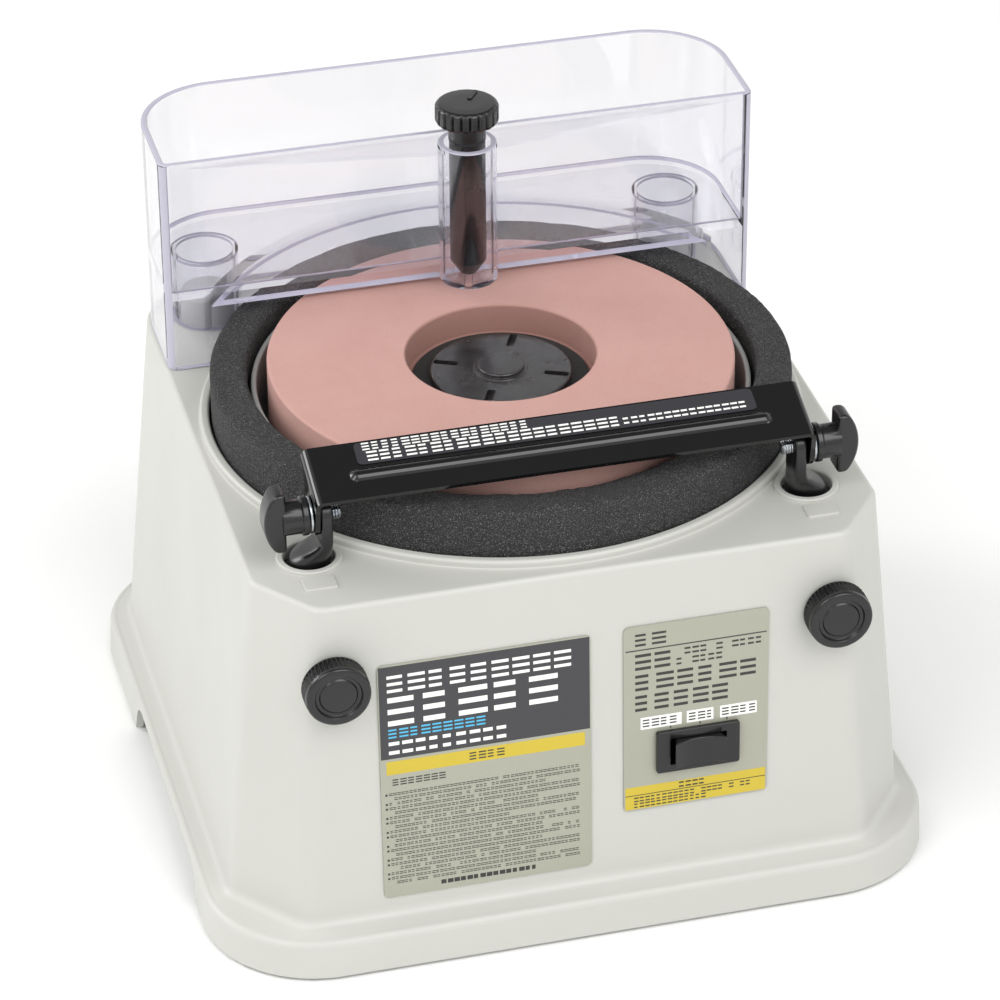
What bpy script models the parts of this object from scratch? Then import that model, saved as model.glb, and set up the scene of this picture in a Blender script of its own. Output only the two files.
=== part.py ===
"""Wet grinding sharpener: a horizontal waterstone in a splash well, under a clear drip tank.

Each physical piece is one object. The machine stands on z = 0 with its front towards -Y.
Plan sizes are measured from the spindle axis, and the machine frame places that axis so
that the origin is the middle of the footprint.
"""

import math

import bmesh
import bpy
from mathutils import Matrix, Vector

# ---- Clearances -------------------------------------------------------------------------
FIT_GAP = 0.0003         # between pieces that touch, press or run on each other
SLIP_GAP = 0.0008        # between pieces that drop into one another

# ---- Eased edges ------------------------------------------------------------------------
EDGE_BREAK = 0.0006      # on small turned pieces
SOFT_EDGE = 0.0012       # on grips, the well lip and the skirt

# ---- Driving sizes ----------------------------------------------------------------------
STONE_RADIUS = 0.090
DECK_HEIGHT = 0.1562

# ---- Splash well, basin and foam --------------------------------------------------------
FOAM_INNER = STONE_RADIUS + 0.008
FOAM_OUTER = FOAM_INNER + 0.014
FOAM_TOP = DECK_HEIGHT + 0.0214
WELL_FLOOR = DECK_HEIGHT - 0.0192
WELL_WALL = 0.003
WELL_LIP_HEIGHT = 0.0033
WELL_LIP_OVERHANG = 0.0008
WELL_RADIUS = FOAM_OUTER + SLIP_GAP
WELL_OUTER = WELL_RADIUS + WELL_WALL
BASIN_WALL = 0.0022
BASIN_FLOOR = 0.002
BASIN_TOP = DECK_HEIGHT + 0.0143
UPSTAND_TOP = WELL_FLOOR + 0.0080
DRAIN_Y = STONE_RADIUS - 0.010
DRAIN_RADIUS = 0.0048
DRAIN_WALL = 0.0014
DRAIN_PIPE_Z = DECK_HEIGHT - 0.0442

# ---- Footprint and cabinet --------------------------------------------------------------
TOP_HALF_WIDTH = WELL_OUTER + 0.0042
TOP_FRONT = -(WELL_OUTER + 0.0062)
TOP_REAR = WELL_OUTER + 0.0142
TOP_CHAMFER_X = 0.0193
TOP_CHAMFER_Y = 0.0245
TOP_REAR_CORNER = 0.032
SKIRT_HALF_WIDTH = TOP_HALF_WIDTH + 0.023
SKIRT_FRONT = TOP_FRONT - 0.016
SKIRT_REAR = TOP_REAR + 0.012
SKIRT_CORNER = 0.045
SKIRT_BOTTOM = 0.0012
SKIRT_HEIGHT = 0.0175
SKIRT_LEDGE = 0.0026     # how far the skirt's top rolls in before the ledge
SPINDLE_Y = -(SKIRT_FRONT + SKIRT_REAR) / 2
SHELL_WALL = 0.003
FOOT_HALF_WIDTH = SKIRT_HALF_WIDTH - 0.0095
FOOT_FRONT = SKIRT_FRONT + 0.0104
FOOT_REAR = SKIRT_REAR - 0.0075
FOOT_CHAMFER_X = 0.0234
FOOT_CHAMFER_Y = 0.0290
FOOT_REAR_CORNER = 0.036
WALL_FOOT = 0.0195
CHAMFER_FILLET = 0.003
DECK_EDGE = 0.0015
ARCH_FRONT = -0.080
ARCH_REAR = 0.046
ARCH_HEIGHT = 0.0155
ARCH_SLOPE = 0.0093       # how far each end of the arch leans in
BOSS_RADIUS = 0.006
BOSS_PLACES = ((SKIRT_HALF_WIDTH - 0.033, SKIRT_FRONT + 0.074),
               (SKIRT_HALF_WIDTH - 0.037, SKIRT_REAR - 0.046))
BOSS_HOLE_DEPTH = 0.014

# ---- Stone, hub and spindle -------------------------------------------------------------
STONE_TOP = DECK_HEIGHT + 0.0244
STONE_THICKNESS = 0.025
STONE_RECESS_RADIUS = 0.0367
STONE_RECESS_DEPTH = 0.0128
STONE_EDGE = 0.0012
SPINDLE_NOSE_RADIUS = 0.010
SPINDLE_RADIUS = 0.006
SPINDLE_BOTTOM = 0.0195
PLATTER_RADIUS = STONE_RADIUS - 0.006
PLATTER_THICKNESS = 0.005
HUB_RADIUS = 0.016
WASHER_RADIUS = STONE_RECESS_RADIUS - 0.0022
WASHER_THICKNESS = 0.0015
NUT_RADIUS = STONE_RECESS_RADIUS - 0.0092
NUT_THICKNESS = 0.0035
NUT_BOSS_RADIUS = 0.009
NUT_BOSS_HEIGHT = 0.0020
NUT_SLOT_LENGTH = 0.009
NUT_SLOT_WIDTH = 0.0025
NUT_SLOT_DEPTH = 0.0022
NUT_SLOTS = 4
SLINGER_RADIUS = 0.031
SLINGER_THICKNESS = 0.0014
BEARING_RADIUS = 0.014
BEARING_HEIGHT = 0.009
HOUSING_RADIUS = 0.020
HOUSING_BOTTOM = 0.060
HOUSING_FLANGE_RADIUS = 0.040
HOUSING_FLANGE = 0.005
HOUSING_NECK_TOP = WELL_FLOOR + 0.0035
SEAL_HEIGHT = 0.003

# ---- Belt drive and motor ---------------------------------------------------------------
DRIVEN_PULLEY_RADIUS = 0.052
DRIVE_PULLEY_RADIUS = 0.016
PULLEY_BOTTOM = 0.024
BELT_HEIGHT = 0.008
BELT_THICKNESS = 0.0028
PULLEY_FLANGE = 0.0015
PULLEY_FLANGE_DEPTH = 0.0022
MOTOR_DISTANCE = STONE_RADIUS + 0.005
MOTOR_BEARING_DEGREES = 45.0
MOTOR_RADIUS = 0.040
MOTOR_SHAFT_RADIUS = 0.004
MOTOR_BOTTOM = 0.0485
MOTOR_BELL_HEIGHT = 0.012
MOTOR_HEADROOM = 0.0209   # below the well's floor
STATOR_HEIGHT = (WELL_FLOOR - WELL_WALL - MOTOR_HEADROOM - MOTOR_BOTTOM
                 - 2 * MOTOR_BELL_HEIGHT - 2 * FIT_GAP)
STATOR_WALL = 0.012
ROTOR_GAP = 0.0008
FAN_RADIUS = 0.032
FAN_BLADES = 8
FAN_HEIGHT = 0.008
FAN_DISC = 0.0015
FAN_HUB = 0.006
FAN_BLADE = 0.0012
BRACKET_PLATE = 0.003
BRACKET_LEG_RADIUS = 0.004
BRACKET_NEAR_LEG = (0.022, 0.042)
BRACKET_FAR_LEG = (-0.032, 0.032)

# ---- Base cover and feet ----------------------------------------------------------------
COVER_HALF_WIDTH = SKIRT_HALF_WIDTH - 0.017
COVER_FRONT = SKIRT_FRONT + 0.020
COVER_REAR = SKIRT_REAR - 0.016
COVER_CORNER = 0.030
COVER_THICKNESS = 0.002
COVER_TOP = 0.0150
SCREW_RADIUS = 0.002
SCREW_HEAD_RADIUS = 0.0036
SCREW_HEAD = 0.002
SCREW_LENGTH = 0.012
FEET_X = COVER_HALF_WIDTH - 0.028
FEET_Y = (COVER_FRONT + 0.024, COVER_REAR - 0.054)
FOOT_PAD_RADIUS = 0.011
VENT_COUNT = 5
VENT_WIDTH = 0.005
VENT_LENGTH = 0.040
VENT_PITCH = 0.012

# ---- Electrical pieces ------------------------------------------------------------------
SWITCH_X = 0.0425
SWITCH_Z = 0.0738
SWITCH_WIDTH = 0.0325
SWITCH_HEIGHT = 0.0180
SWITCH_BEZEL = 0.0020
SWITCH_BODY_WIDTH = 0.0285
SWITCH_BODY_HEIGHT = 0.0145
SWITCH_BODY_DEPTH = 0.024
ROCKER_WIDTH = 0.0205
ROCKER_HEIGHT = 0.0110
ROCKER_DEPTH = 0.0070
ROCKER_PROUD = 0.0042
ROCKER_DIP = 0.0026
ROCKER_FOOT = 0.0140
ROCKER_FOOT_DEPTH = 0.0035
CAPACITOR_RADIUS = 0.014
CAPACITOR_LENGTH = 0.056
CAPACITOR_PLACE = (-0.062, FOOT_REAR - 0.0405)
TERMINAL_SIZE = (0.040, 0.018, 0.015)
TERMINAL_PLACE = (-0.076, 0.036)
GLAND_X = -0.080
GLAND_Z = 0.042
GLAND_RADIUS = 0.007
GLAND_NECK = GLAND_RADIUS - 0.0015
GLAND_BORE = 0.0036
GLAND_PROUD = 0.0052

# ---- Labels -----------------------------------------------------------------------------
LABEL_THICKNESS = 0.0003
NOTICE_LABEL = (-0.0795, 0.0013, 0.0270, DECK_HEIGHT - 0.0272)
USE_LABEL = (0.0139, 0.0702, 0.0485, DECK_HEIGHT - 0.0267)
REST_LABEL_INSET = 0.019  # from each end of the rest bar

# ---- Guide posts, rest bar and clamps ---------------------------------------------------
POST_RADIUS = 0.0080
SOCKET_RADIUS = POST_RADIUS + 2 * SLIP_GAP
SOCKET_COLLAR_RADIUS = SOCKET_RADIUS + 0.0027
SOCKET_COLLAR_HEIGHT = 0.0014
POST_DISTANCE = WELL_OUTER + WELL_LIP_OVERHANG + SOCKET_COLLAR_RADIUS + 0.00044
POST_BEARING = math.radians(42.274)
POST_X = POST_DISTANCE * math.cos(POST_BEARING)
POST_Y = -POST_DISTANCE * math.sin(POST_BEARING)
POST_BOTTOM = DECK_HEIGHT - 0.0682
POST_TOP = DECK_HEIGHT + 0.0078
SLEEVE_RADIUS = POST_RADIUS + 0.0035
SLEEVE_BOTTOM = DECK_HEIGHT - 0.0722
PAD_SIZE = (0.0125, 0.0085)
PAD_Y = POST_Y - SOCKET_COLLAR_RADIUS - PAD_SIZE[1] / 2 - 0.00145
PAD_HEIGHT = 0.0007
CLAMP_Y = POST_Y - 0.0030
CLAMP_Z = STONE_TOP - 0.0036
TONGUE_THICKNESS = 0.0050
TONGUE_HALF_WIDTH = 0.0065
BAR_HALF_LENGTH = POST_X - 0.0007
BAR_GAUGE = 0.0018
BAR_TILT_DEGREES = 20.0
BAR_FRONT = -0.0059      # from the clamp axis, along the bar's width
BAR_REAR = 0.0201
BAR_TOP = 0.0129         # from the clamp axis, square to the bar's face
EAR_RADIUS = 0.0078
EAR_ARC_INSET = 15       # degrees short of level at both ends of the ear's round end
EAR_FLARE = math.radians(16)
BEAD_CENTRE = 0.0046
BEAD_WIDTH = 0.0050
BEAD_HEIGHT = 0.0011
BEAD_INSET = 0.015
STUD_RADIUS = 0.0030
STUD_REACH = 0.011        # inwards from the bar's end
CLAMP_WASHER_RADIUS = 0.0070
CLAMP_WASHER = 0.0010
WING_HUB_RADIUS = 0.0075
WING_HUB_LENGTH = 0.0085
WING_HALF_HEIGHT = 0.0124
WING_THICKNESS = 0.0082
WING_WIDTH = 0.0100
LOCK_Z = DECK_HEIGHT - 0.0315
LOCK_KNOB_RADIUS = 0.0124
LOCK_KNOB_LENGTH = 0.0092
LOCK_KNOB_FLUTES = 24
LOCK_FLUTE_DEPTH = 0.0006
LOCK_KNOB_CROWN = 0.93
LOCK_RECESS_RADIUS = 0.0085
LOCK_RECESS_DEPTH = 0.0012

# ---- Water tank and drip valve ----------------------------------------------------------
TANK_HALF_WIDTH = TOP_HALF_WIDTH - 0.001
TANK_FRONT = STONE_RADIUS - 0.0301
TANK_REAR = TOP_REAR - 0.003
TANK_FLOOR_TOP = STONE_TOP + 0.0084
TANK_RIM = TANK_FLOOR_TOP + 0.0578
TANK_WALL = 0.0025
TANK_FLOOR = 0.003
TANK_LIP_BOTTOM = STONE_TOP + 0.0022
TANK_FRONT_CORNER = 0.004
TANK_REAR_CORNER = 0.033
RECESS_MARGIN = 2.67      # degrees between the floor recess and the arc skirt's ends
TANK_ARC_RADIUS = WELL_OUTER + 0.0042
PILLAR_PLACE = (TANK_HALF_WIDTH - 0.0235, TANK_REAR - 0.026)
PILLAR_WALL = 0.002
PEG_RADIUS = 0.0105
PEG_HEIGHT = 0.012
PILLAR_RADIUS = PEG_RADIUS + 0.001 + PILLAR_WALL
VALVE_Y = TANK_FRONT - 0.0105
VALVE_TUBE_RADIUS = 0.0115
VALVE_TUBE_WALL = 0.0023
VALVE_TUBE_BOTTOM = TANK_FLOOR_TOP - 0.0020
VALVE_SEAT = TANK_FLOOR_TOP + 0.0005
DRIP_TIP_BOTTOM = TANK_FLOOR_TOP - 0.0057
DRIP_TIP_RADIUS = 0.0095
OUTLET_RADIUS = 0.0016
CROSS_HOLE_RADIUS = 0.004
WEB_THICKNESS = 0.002
WEB_FRONT = VALVE_Y - 0.0054
WEB_NOSE_HALF = 0.0125
STEM_RADIUS = VALVE_TUBE_RADIUS - VALVE_TUBE_WALL - 0.0021
STEM_TIP_RADIUS = STEM_RADIUS * 0.45
STEM_CONE = 0.006
KNOB_RADIUS = 0.0124
KNOB_BOTTOM = TANK_RIM + 0.0090
KNOB_HEIGHT = 0.0078
KNOB_FLUTES = 22
KNOB_FLUTE_DEPTH = 0.0007
KNOB_CROWN = 0.86        # crown size over grip size
POINTER_WIDTH = 0.0022
POINTER_HEIGHT = 0.0007
NECK_RADIUS = STEM_RADIUS + 0.0002

# ---- Facets -----------------------------------------------------------------------------
LARGE_ROUND = 48
MEDIUM_ROUND = 24
SMALL_ROUND = 12
CORNER_STEPS = 6
ARC_STEPS = 24

# ---- Derived places ---------------------------------------------------------------------
BASIN_OUTER = FOAM_INNER - 2 * SLIP_GAP
STONE_BOTTOM = STONE_TOP - STONE_THICKNESS
RECESS_FLOOR = STONE_TOP - STONE_RECESS_DEPTH
PLATTER_TOP = STONE_BOTTOM - FIT_GAP
PLATTER_BOTTOM = PLATTER_TOP - PLATTER_THICKNESS
WASHER_BOTTOM = RECESS_FLOOR + FIT_GAP
NUT_BOTTOM = WASHER_BOTTOM + WASHER_THICKNESS + FIT_GAP
NUT_TOP = NUT_BOTTOM + NUT_THICKNESS
WELL_UNDERSIDE = WELL_FLOOR - WELL_WALL
FLANGE_TOP = WELL_UNDERSIDE - FIT_GAP
FLANGE_BOTTOM = FLANGE_TOP - HOUSING_FLANGE
NECK_RADIUS_OUTER = BEARING_RADIUS + 0.003
UPSTAND_INNER = NECK_RADIUS_OUTER + SLIP_GAP
UPSTAND_OUTER = UPSTAND_INNER + BASIN_WALL
PULLEY_TOP = PULLEY_BOTTOM + BELT_HEIGHT + 2 * PULLEY_FLANGE + 2 * FIT_GAP
BELT_BOTTOM = PULLEY_BOTTOM + PULLEY_FLANGE + FIT_GAP
MOTOR_X = MOTOR_DISTANCE * math.cos(math.radians(MOTOR_BEARING_DEGREES))
MOTOR_Y = MOTOR_DISTANCE * math.sin(math.radians(MOTOR_BEARING_DEGREES))
STATOR_BOTTOM = MOTOR_BOTTOM + MOTOR_BELL_HEIGHT + FIT_GAP
STATOR_TOP = STATOR_BOTTOM + STATOR_HEIGHT
MOTOR_TOP = STATOR_TOP + FIT_GAP + MOTOR_BELL_HEIGHT
ROTOR_RADIUS = MOTOR_RADIUS - STATOR_WALL - ROTOR_GAP
BRACKET_TOP = MOTOR_BOTTOM - FIT_GAP
BRACKET_BOTTOM = BRACKET_TOP - BRACKET_PLATE
COVER_BOTTOM = COVER_TOP - COVER_THICKNESS
BOSS_BOTTOM = COVER_TOP + FIT_GAP
CLAMP_HOLE = STUD_RADIUS + FIT_GAP
BEAD_HALF_LENGTH = BAR_HALF_LENGTH - BEAD_INSET
REST_LABEL_HALF = BAR_HALF_LENGTH - REST_LABEL_INSET
STUD_INNER_END = BAR_HALF_LENGTH - STUD_REACH
EAR_INNER = BAR_HALF_LENGTH - BAR_GAUGE
TONGUE_OUTER = EAR_INNER - FIT_GAP
TONGUE_INNER = TONGUE_OUTER - TONGUE_THICKNESS
CLAMP_WASHER_INNER = BAR_HALF_LENGTH + FIT_GAP
WING_HUB_INNER = CLAMP_WASHER_INNER + CLAMP_WASHER + FIT_GAP
WING_INNER = WING_HUB_INNER + WING_HUB_LENGTH
TUBE_BORE = VALVE_TUBE_RADIUS - VALVE_TUBE_WALL
WALL_SLOPE = math.atan2(TOP_FRONT - FOOT_FRONT, DECK_HEIGHT - WALL_FOOT)


def wall_front(height):
    """Y of the front wall's outer face at a height."""
    return FOOT_FRONT + (height - WALL_FOOT) * math.tan(WALL_SLOPE)


def rear_wall(height):
    """Y of the rear wall's outer face at a height."""
    share = (height - WALL_FOOT) / (DECK_HEIGHT - WALL_FOOT)
    return FOOT_REAR + (TOP_REAR - FOOT_REAR) * share


# ---- Finishes ---------------------------------------------------------------------------
FINISHES = {
    "greige_abs": ((0.72, 0.72, 0.66), 0.45, 0.0),
    "grey_basin": ((0.55, 0.56, 0.55), 0.5, 0.0),
    "clear_tank": ((0.88, 0.87, 0.92), 0.05, 0.0),
    "black_plastic": ((0.02, 0.02, 0.022), 0.35, 0.0),
    "black_enamel": ((0.012, 0.012, 0.014), 0.18, 0.0),
    "charcoal_foam": ((0.035, 0.035, 0.036), 0.95, 0.0),
    "pink_stone": ((0.62, 0.36, 0.30), 0.9, 0.0),
    "zinc": ((0.62, 0.63, 0.65), 0.3, 1.0),
    "steel": ((0.50, 0.50, 0.52), 0.35, 1.0),
    "cast_aluminium": ((0.60, 0.60, 0.61), 0.5, 1.0),
    "rubber": ((0.03, 0.03, 0.03), 0.8, 0.0),
    "white_plastic": ((0.75, 0.75, 0.72), 0.4, 0.0),
    "label_dark": ((0.05, 0.05, 0.055), 0.5, 0.0),
    "label_khaki": ((0.45, 0.45, 0.36), 0.5, 0.0),
}


def clear_scene():
    """Removes whatever the file holds."""
    for old in list(bpy.data.objects):
        bpy.data.objects.remove(old, do_unlink=True)


def finish(name):
    """The Principled material of that name, made on first use."""
    material = bpy.data.materials.get(name)
    if material is None:
        colour, roughness, metallic = FINISHES[name]
        material = bpy.data.materials.new(name)
        material.use_nodes = True
        shader = material.node_tree.nodes["Principled BSDF"]
        shader.inputs["Base Color"].default_value = (*colour, 1.0)
        shader.inputs["Roughness"].default_value = roughness
        shader.inputs["Metallic"].default_value = metallic
        material.diffuse_color = (*colour, 1.0)
    return material


# ---- Shape makers -----------------------------------------------------------------------
def closed_shape(shape):
    """Turns every face outwards."""
    bmesh.ops.recalc_face_normals(shape, faces=shape.faces)
    return shape


def turned(profile, segments, centre=(0.0, 0.0)):
    """Solid of revolution about Z. The profile is a loop, or runs from axis to axis."""
    shape = bmesh.new()
    rings = []
    for radius, height in profile:
        if radius < 1e-7:
            rings.append([shape.verts.new((centre[0], centre[1], height))])
            continue
        ring = []
        for step in range(segments):
            angle = 2 * math.pi * step / segments
            x = centre[0] + radius * math.cos(angle)
            y = centre[1] + radius * math.sin(angle)
            ring.append(shape.verts.new((x, y, height)))
        rings.append(ring)
    is_loop = all(len(ring) > 1 for ring in rings)
    pairs = list(zip(rings, rings[1:]))
    if is_loop:
        pairs.append((rings[-1], rings[0]))
    for lower, upper in pairs:
        join_rings(shape, lower, upper)
    return closed_shape(shape)


def join_rings(shape, lower, upper):
    """Faces between two rings of vertices, where either may be a single point."""
    count = max(len(lower), len(upper))
    for step in range(count):
        after = (step + 1) % count
        if len(lower) == 1:
            shape.faces.new((lower[0], upper[after], upper[step]))
        elif len(upper) == 1:
            shape.faces.new((lower[step], lower[after], upper[0]))
        else:
            shape.faces.new((lower[step], lower[after], upper[after], upper[step]))


def lofted(levels):
    """Closed solid through loops of points with the same count, capped at both ends."""
    shape = bmesh.new()
    rings = [[shape.verts.new(point) for point in level] for level in levels]
    for lower, upper in zip(rings, rings[1:]):
        join_rings(shape, lower, upper)
    shape.faces.new(rings[0])
    shape.faces.new(rings[-1])
    return closed_shape(shape)


def prism(outline, bottom, top):
    """Straight extrusion of a plan outline."""
    return lofted([[(x, y, bottom) for x, y in outline], [(x, y, top) for x, y in outline]])


def block(low, high):
    """Rectangular solid between two corners."""
    outline = [(low[0], low[1]), (high[0], low[1]), (high[0], high[1]), (low[0], high[1])]
    return prism(outline, low[2], high[2])


def rod(radius, bottom, top, segments=MEDIUM_ROUND, centre=(0.0, 0.0)):
    """Plain upright cylinder."""
    return turned([(0, bottom), (radius, bottom), (radius, top), (0, top)], segments, centre)


def tube(inner, outer, bottom, top, segments=MEDIUM_ROUND, centre=(0.0, 0.0)):
    """Plain upright ring."""
    profile = [(inner, bottom), (outer, bottom), (outer, top), (inner, top)]
    return turned(profile, segments, centre)


def gathered(shapes):
    """One mesh that holds several separate shapes, for a cutter or a union."""
    whole = bmesh.new()
    for shape in shapes:
        mesh = bpy.data.meshes.new("gathered")
        shape.to_mesh(mesh)
        shape.free()
        whole.from_mesh(mesh)
        bpy.data.meshes.remove(mesh)
    return whole


def moved(shape, matrix):
    """The same shape after a turn or a shift."""
    bmesh.ops.transform(shape, matrix=matrix, verts=shape.verts)
    return shape


def towards_x(shape, side, centre):
    """Lays a shape made along +Z so that it points away from the middle on one side."""
    turn = Matrix.Rotation(side * math.pi / 2, 4, "Y")
    return moved(shape, Matrix.Translation(centre) @ turn)


def towards_front(shape, centre):
    """Lays a shape made along +Z so that it points towards the front."""
    return moved(shape, Matrix.Translation(centre) @ Matrix.Rotation(math.pi / 2, 4, "X"))


def fluted(radius, depth, flutes):
    """Outline of a grip: one ridge and one groove per flute."""
    outline = []
    for step in range(2 * flutes):
        reach = radius - depth * (step % 2)
        angle = math.pi * step / flutes
        outline.append((reach * math.cos(angle), reach * math.sin(angle)))
    return outline


def arc(centre, radius, start, end, steps):
    """Points along an arc, angles in degrees."""
    points = []
    for step in range(steps + 1):
        angle = math.radians(start + (end - start) * step / steps)
        points.append((centre[0] + radius * math.cos(angle), centre[1] + radius * math.sin(angle)))
    return points


def chamfer_corner(start, end, before, after):
    """A straight chamfer whose two ends are eased by a small fillet."""
    run = (Vector(end) - Vector(start)).normalized()
    points = []
    for vertex, arrive, leave in ((start, before, run), (end, run, after)):
        corner = Vector(vertex)
        first = corner - Vector(arrive) * CHAMFER_FILLET
        last = corner + Vector(leave) * CHAMFER_FILLET
        middle = (first + 2 * corner + last) / 4
        points += [tuple(first), tuple(middle), tuple(last)]
    return points


def mirrored_outline(right_half):
    """A whole plan outline from the points of its right half, front to rear."""
    return right_half + [(-x, y) for x, y in reversed(right_half)]


def wall_plan(half_width, front, rear, chamfer_x, chamfer_y, rear_corner):
    """Plan of the cabinet wall: chamfered front corners and round rear ones."""
    chamfer = chamfer_corner(
        (half_width - chamfer_x, front), (half_width, front + chamfer_y), (1, 0), (0, 1)
    )
    centre = (half_width - rear_corner, rear - rear_corner)
    return mirrored_outline(chamfer + arc(centre, rear_corner, 0, 90, CORNER_STEPS - 1))


def round_plan(half_width, front, rear, front_corner, rear_corner, steps=CORNER_STEPS - 1):
    """Plan of a rounded rectangle."""
    front_centre = (half_width - front_corner, front + front_corner)
    rear_centre = (half_width - rear_corner, rear - rear_corner)
    right_half = arc(front_centre, front_corner, -90, 0, steps)
    return mirrored_outline(right_half + arc(rear_centre, rear_corner, 0, 90, steps))


def at_height(outline, height):
    """Plan outline lifted to a height."""
    return [(x, y, height) for x, y in outline]


# ---- Objects ----------------------------------------------------------------------------
def add_object(name, shape, pivot=(0.0, 0.0, 0.0)):
    """Object in the machine frame whose origin is the pivot."""
    moved(shape, Matrix.Translation(-Vector(pivot)))
    mesh = bpy.data.meshes.new(name)
    shape.to_mesh(mesh)
    shape.free()
    made = bpy.data.objects.new(name, mesh)
    made.location = pivot
    made.parent = bpy.data.objects["machine_frame"]
    bpy.context.scene.collection.objects.link(made)
    return made


def add_part(name, shape, finish_name, pivot=(0.0, 0.0, 0.0), is_round=False):
    """A visible piece with its own finish."""
    part = add_object(name, shape, pivot)
    part.data.materials.append(finish(finish_name))
    if is_round:
        part.data.shade_smooth()
        part.data.set_sharp_from_angle(angle=math.radians(35))
    return part


def add_boolean(part, shape, operation, label):
    """Joins or cuts with a helper shape that stays out of the build."""
    helper = add_object(f"{part.name}_{label}", shape)
    helper.hide_render = True
    helper.display_type = "WIRE"
    modifier = part.modifiers.new(label, "BOOLEAN")
    modifier.operation = operation
    modifier.solver = "EXACT"
    modifier.object = helper


def unite(part, shape, label):
    """Adds a helper shape to the part."""
    add_boolean(part, shape, "UNION", label)


def cut(part, shape, label):
    """Removes a helper shape from the part."""
    add_boolean(part, shape, "DIFFERENCE", label)


# ---- Cabinet ----------------------------------------------------------------------------
def shell_levels():
    """Loops of the cabinet skin: up the outside, then down the inside."""
    wall = SHELL_WALL
    outside = [
        at_height(round_plan(SKIRT_HALF_WIDTH, SKIRT_FRONT, SKIRT_REAR,
                             SKIRT_CORNER, SKIRT_CORNER), SKIRT_BOTTOM),
        at_height(round_plan(SKIRT_HALF_WIDTH - EDGE_BREAK, SKIRT_FRONT + EDGE_BREAK, SKIRT_REAR - EDGE_BREAK,
                             SKIRT_CORNER, SKIRT_CORNER), SKIRT_HEIGHT - SKIRT_LEDGE),
        at_height(round_plan(SKIRT_HALF_WIDTH - SKIRT_LEDGE, SKIRT_FRONT + SKIRT_LEDGE,
                             SKIRT_REAR - SKIRT_LEDGE, SKIRT_CORNER, SKIRT_CORNER), SKIRT_HEIGHT),
        at_height(wall_plan(FOOT_HALF_WIDTH, FOOT_FRONT, FOOT_REAR, FOOT_CHAMFER_X,
                            FOOT_CHAMFER_Y, FOOT_REAR_CORNER), WALL_FOOT),
        at_height(wall_plan(TOP_HALF_WIDTH, TOP_FRONT, TOP_REAR, TOP_CHAMFER_X,
                            TOP_CHAMFER_Y, TOP_REAR_CORNER), DECK_HEIGHT - DECK_EDGE),
        at_height(wall_plan(TOP_HALF_WIDTH - DECK_EDGE, TOP_FRONT + DECK_EDGE, TOP_REAR - DECK_EDGE,
                            TOP_CHAMFER_X, TOP_CHAMFER_Y, TOP_REAR_CORNER), DECK_HEIGHT),
    ]
    inside = [
        at_height(wall_plan(TOP_HALF_WIDTH - wall, TOP_FRONT + wall, TOP_REAR - wall,
                            TOP_CHAMFER_X, TOP_CHAMFER_Y, TOP_REAR_CORNER - wall),
                  DECK_HEIGHT - wall),
        at_height(wall_plan(FOOT_HALF_WIDTH - wall, FOOT_FRONT + wall, FOOT_REAR - wall,
                            FOOT_CHAMFER_X, FOOT_CHAMFER_Y, FOOT_REAR_CORNER - wall),
                  WALL_FOOT - wall / 2),
        at_height(round_plan(SKIRT_HALF_WIDTH - SKIRT_LEDGE - wall, SKIRT_FRONT + SKIRT_LEDGE + wall,
                             SKIRT_REAR - SKIRT_LEDGE - wall, SKIRT_CORNER - wall,
                             SKIRT_CORNER - wall), SKIRT_HEIGHT - wall + SOFT_EDGE),
        at_height(round_plan(SKIRT_HALF_WIDTH - wall, SKIRT_FRONT + wall, SKIRT_REAR - wall,
                             SKIRT_CORNER - wall, SKIRT_CORNER - wall), SKIRT_BOTTOM),
    ]
    return outside, inside


def shell_skin():
    """Cabinet skin, open underneath and rimmed between its outer and inner faces."""
    outside, inside = shell_levels()
    shape = bmesh.new()
    rings = [[shape.verts.new(point) for point in level] for level in outside + inside]
    last_outside = len(outside) - 1
    for index, (lower, upper) in enumerate(zip(rings, rings[1:])):
        if index != last_outside:
            join_rings(shape, lower, upper)
    join_rings(shape, rings[-1], rings[0])
    shape.faces.new(rings[last_outside])
    shape.faces.new(rings[last_outside + 1])
    return closed_shape(shape)


def well_cup():
    """Moulded well: wall, rounded lip above the deck, floor with a hole for the spindle neck."""
    lip_outer = WELL_OUTER + WELL_LIP_OVERHANG
    lip_top = DECK_HEIGHT + WELL_LIP_HEIGHT
    hole = NECK_RADIUS_OUTER + FIT_GAP
    return turned([
        (hole, WELL_UNDERSIDE), (WELL_OUTER, WELL_UNDERSIDE), (WELL_OUTER, DECK_HEIGHT - SHELL_WALL / 2),
        (lip_outer, DECK_HEIGHT - SHELL_WALL / 2), (lip_outer, lip_top - SOFT_EDGE),
        (lip_outer - SOFT_EDGE, lip_top), (WELL_RADIUS + EDGE_BREAK, lip_top),
        (WELL_RADIUS, lip_top - SOFT_EDGE), (WELL_RADIUS, WELL_FLOOR), (hole, WELL_FLOOR),
    ], LARGE_ROUND)


def boss_places():
    """Plan places of the four screw bosses."""
    return [(side * x, y) for x, y in BOSS_PLACES for side in (1, -1)]


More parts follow.
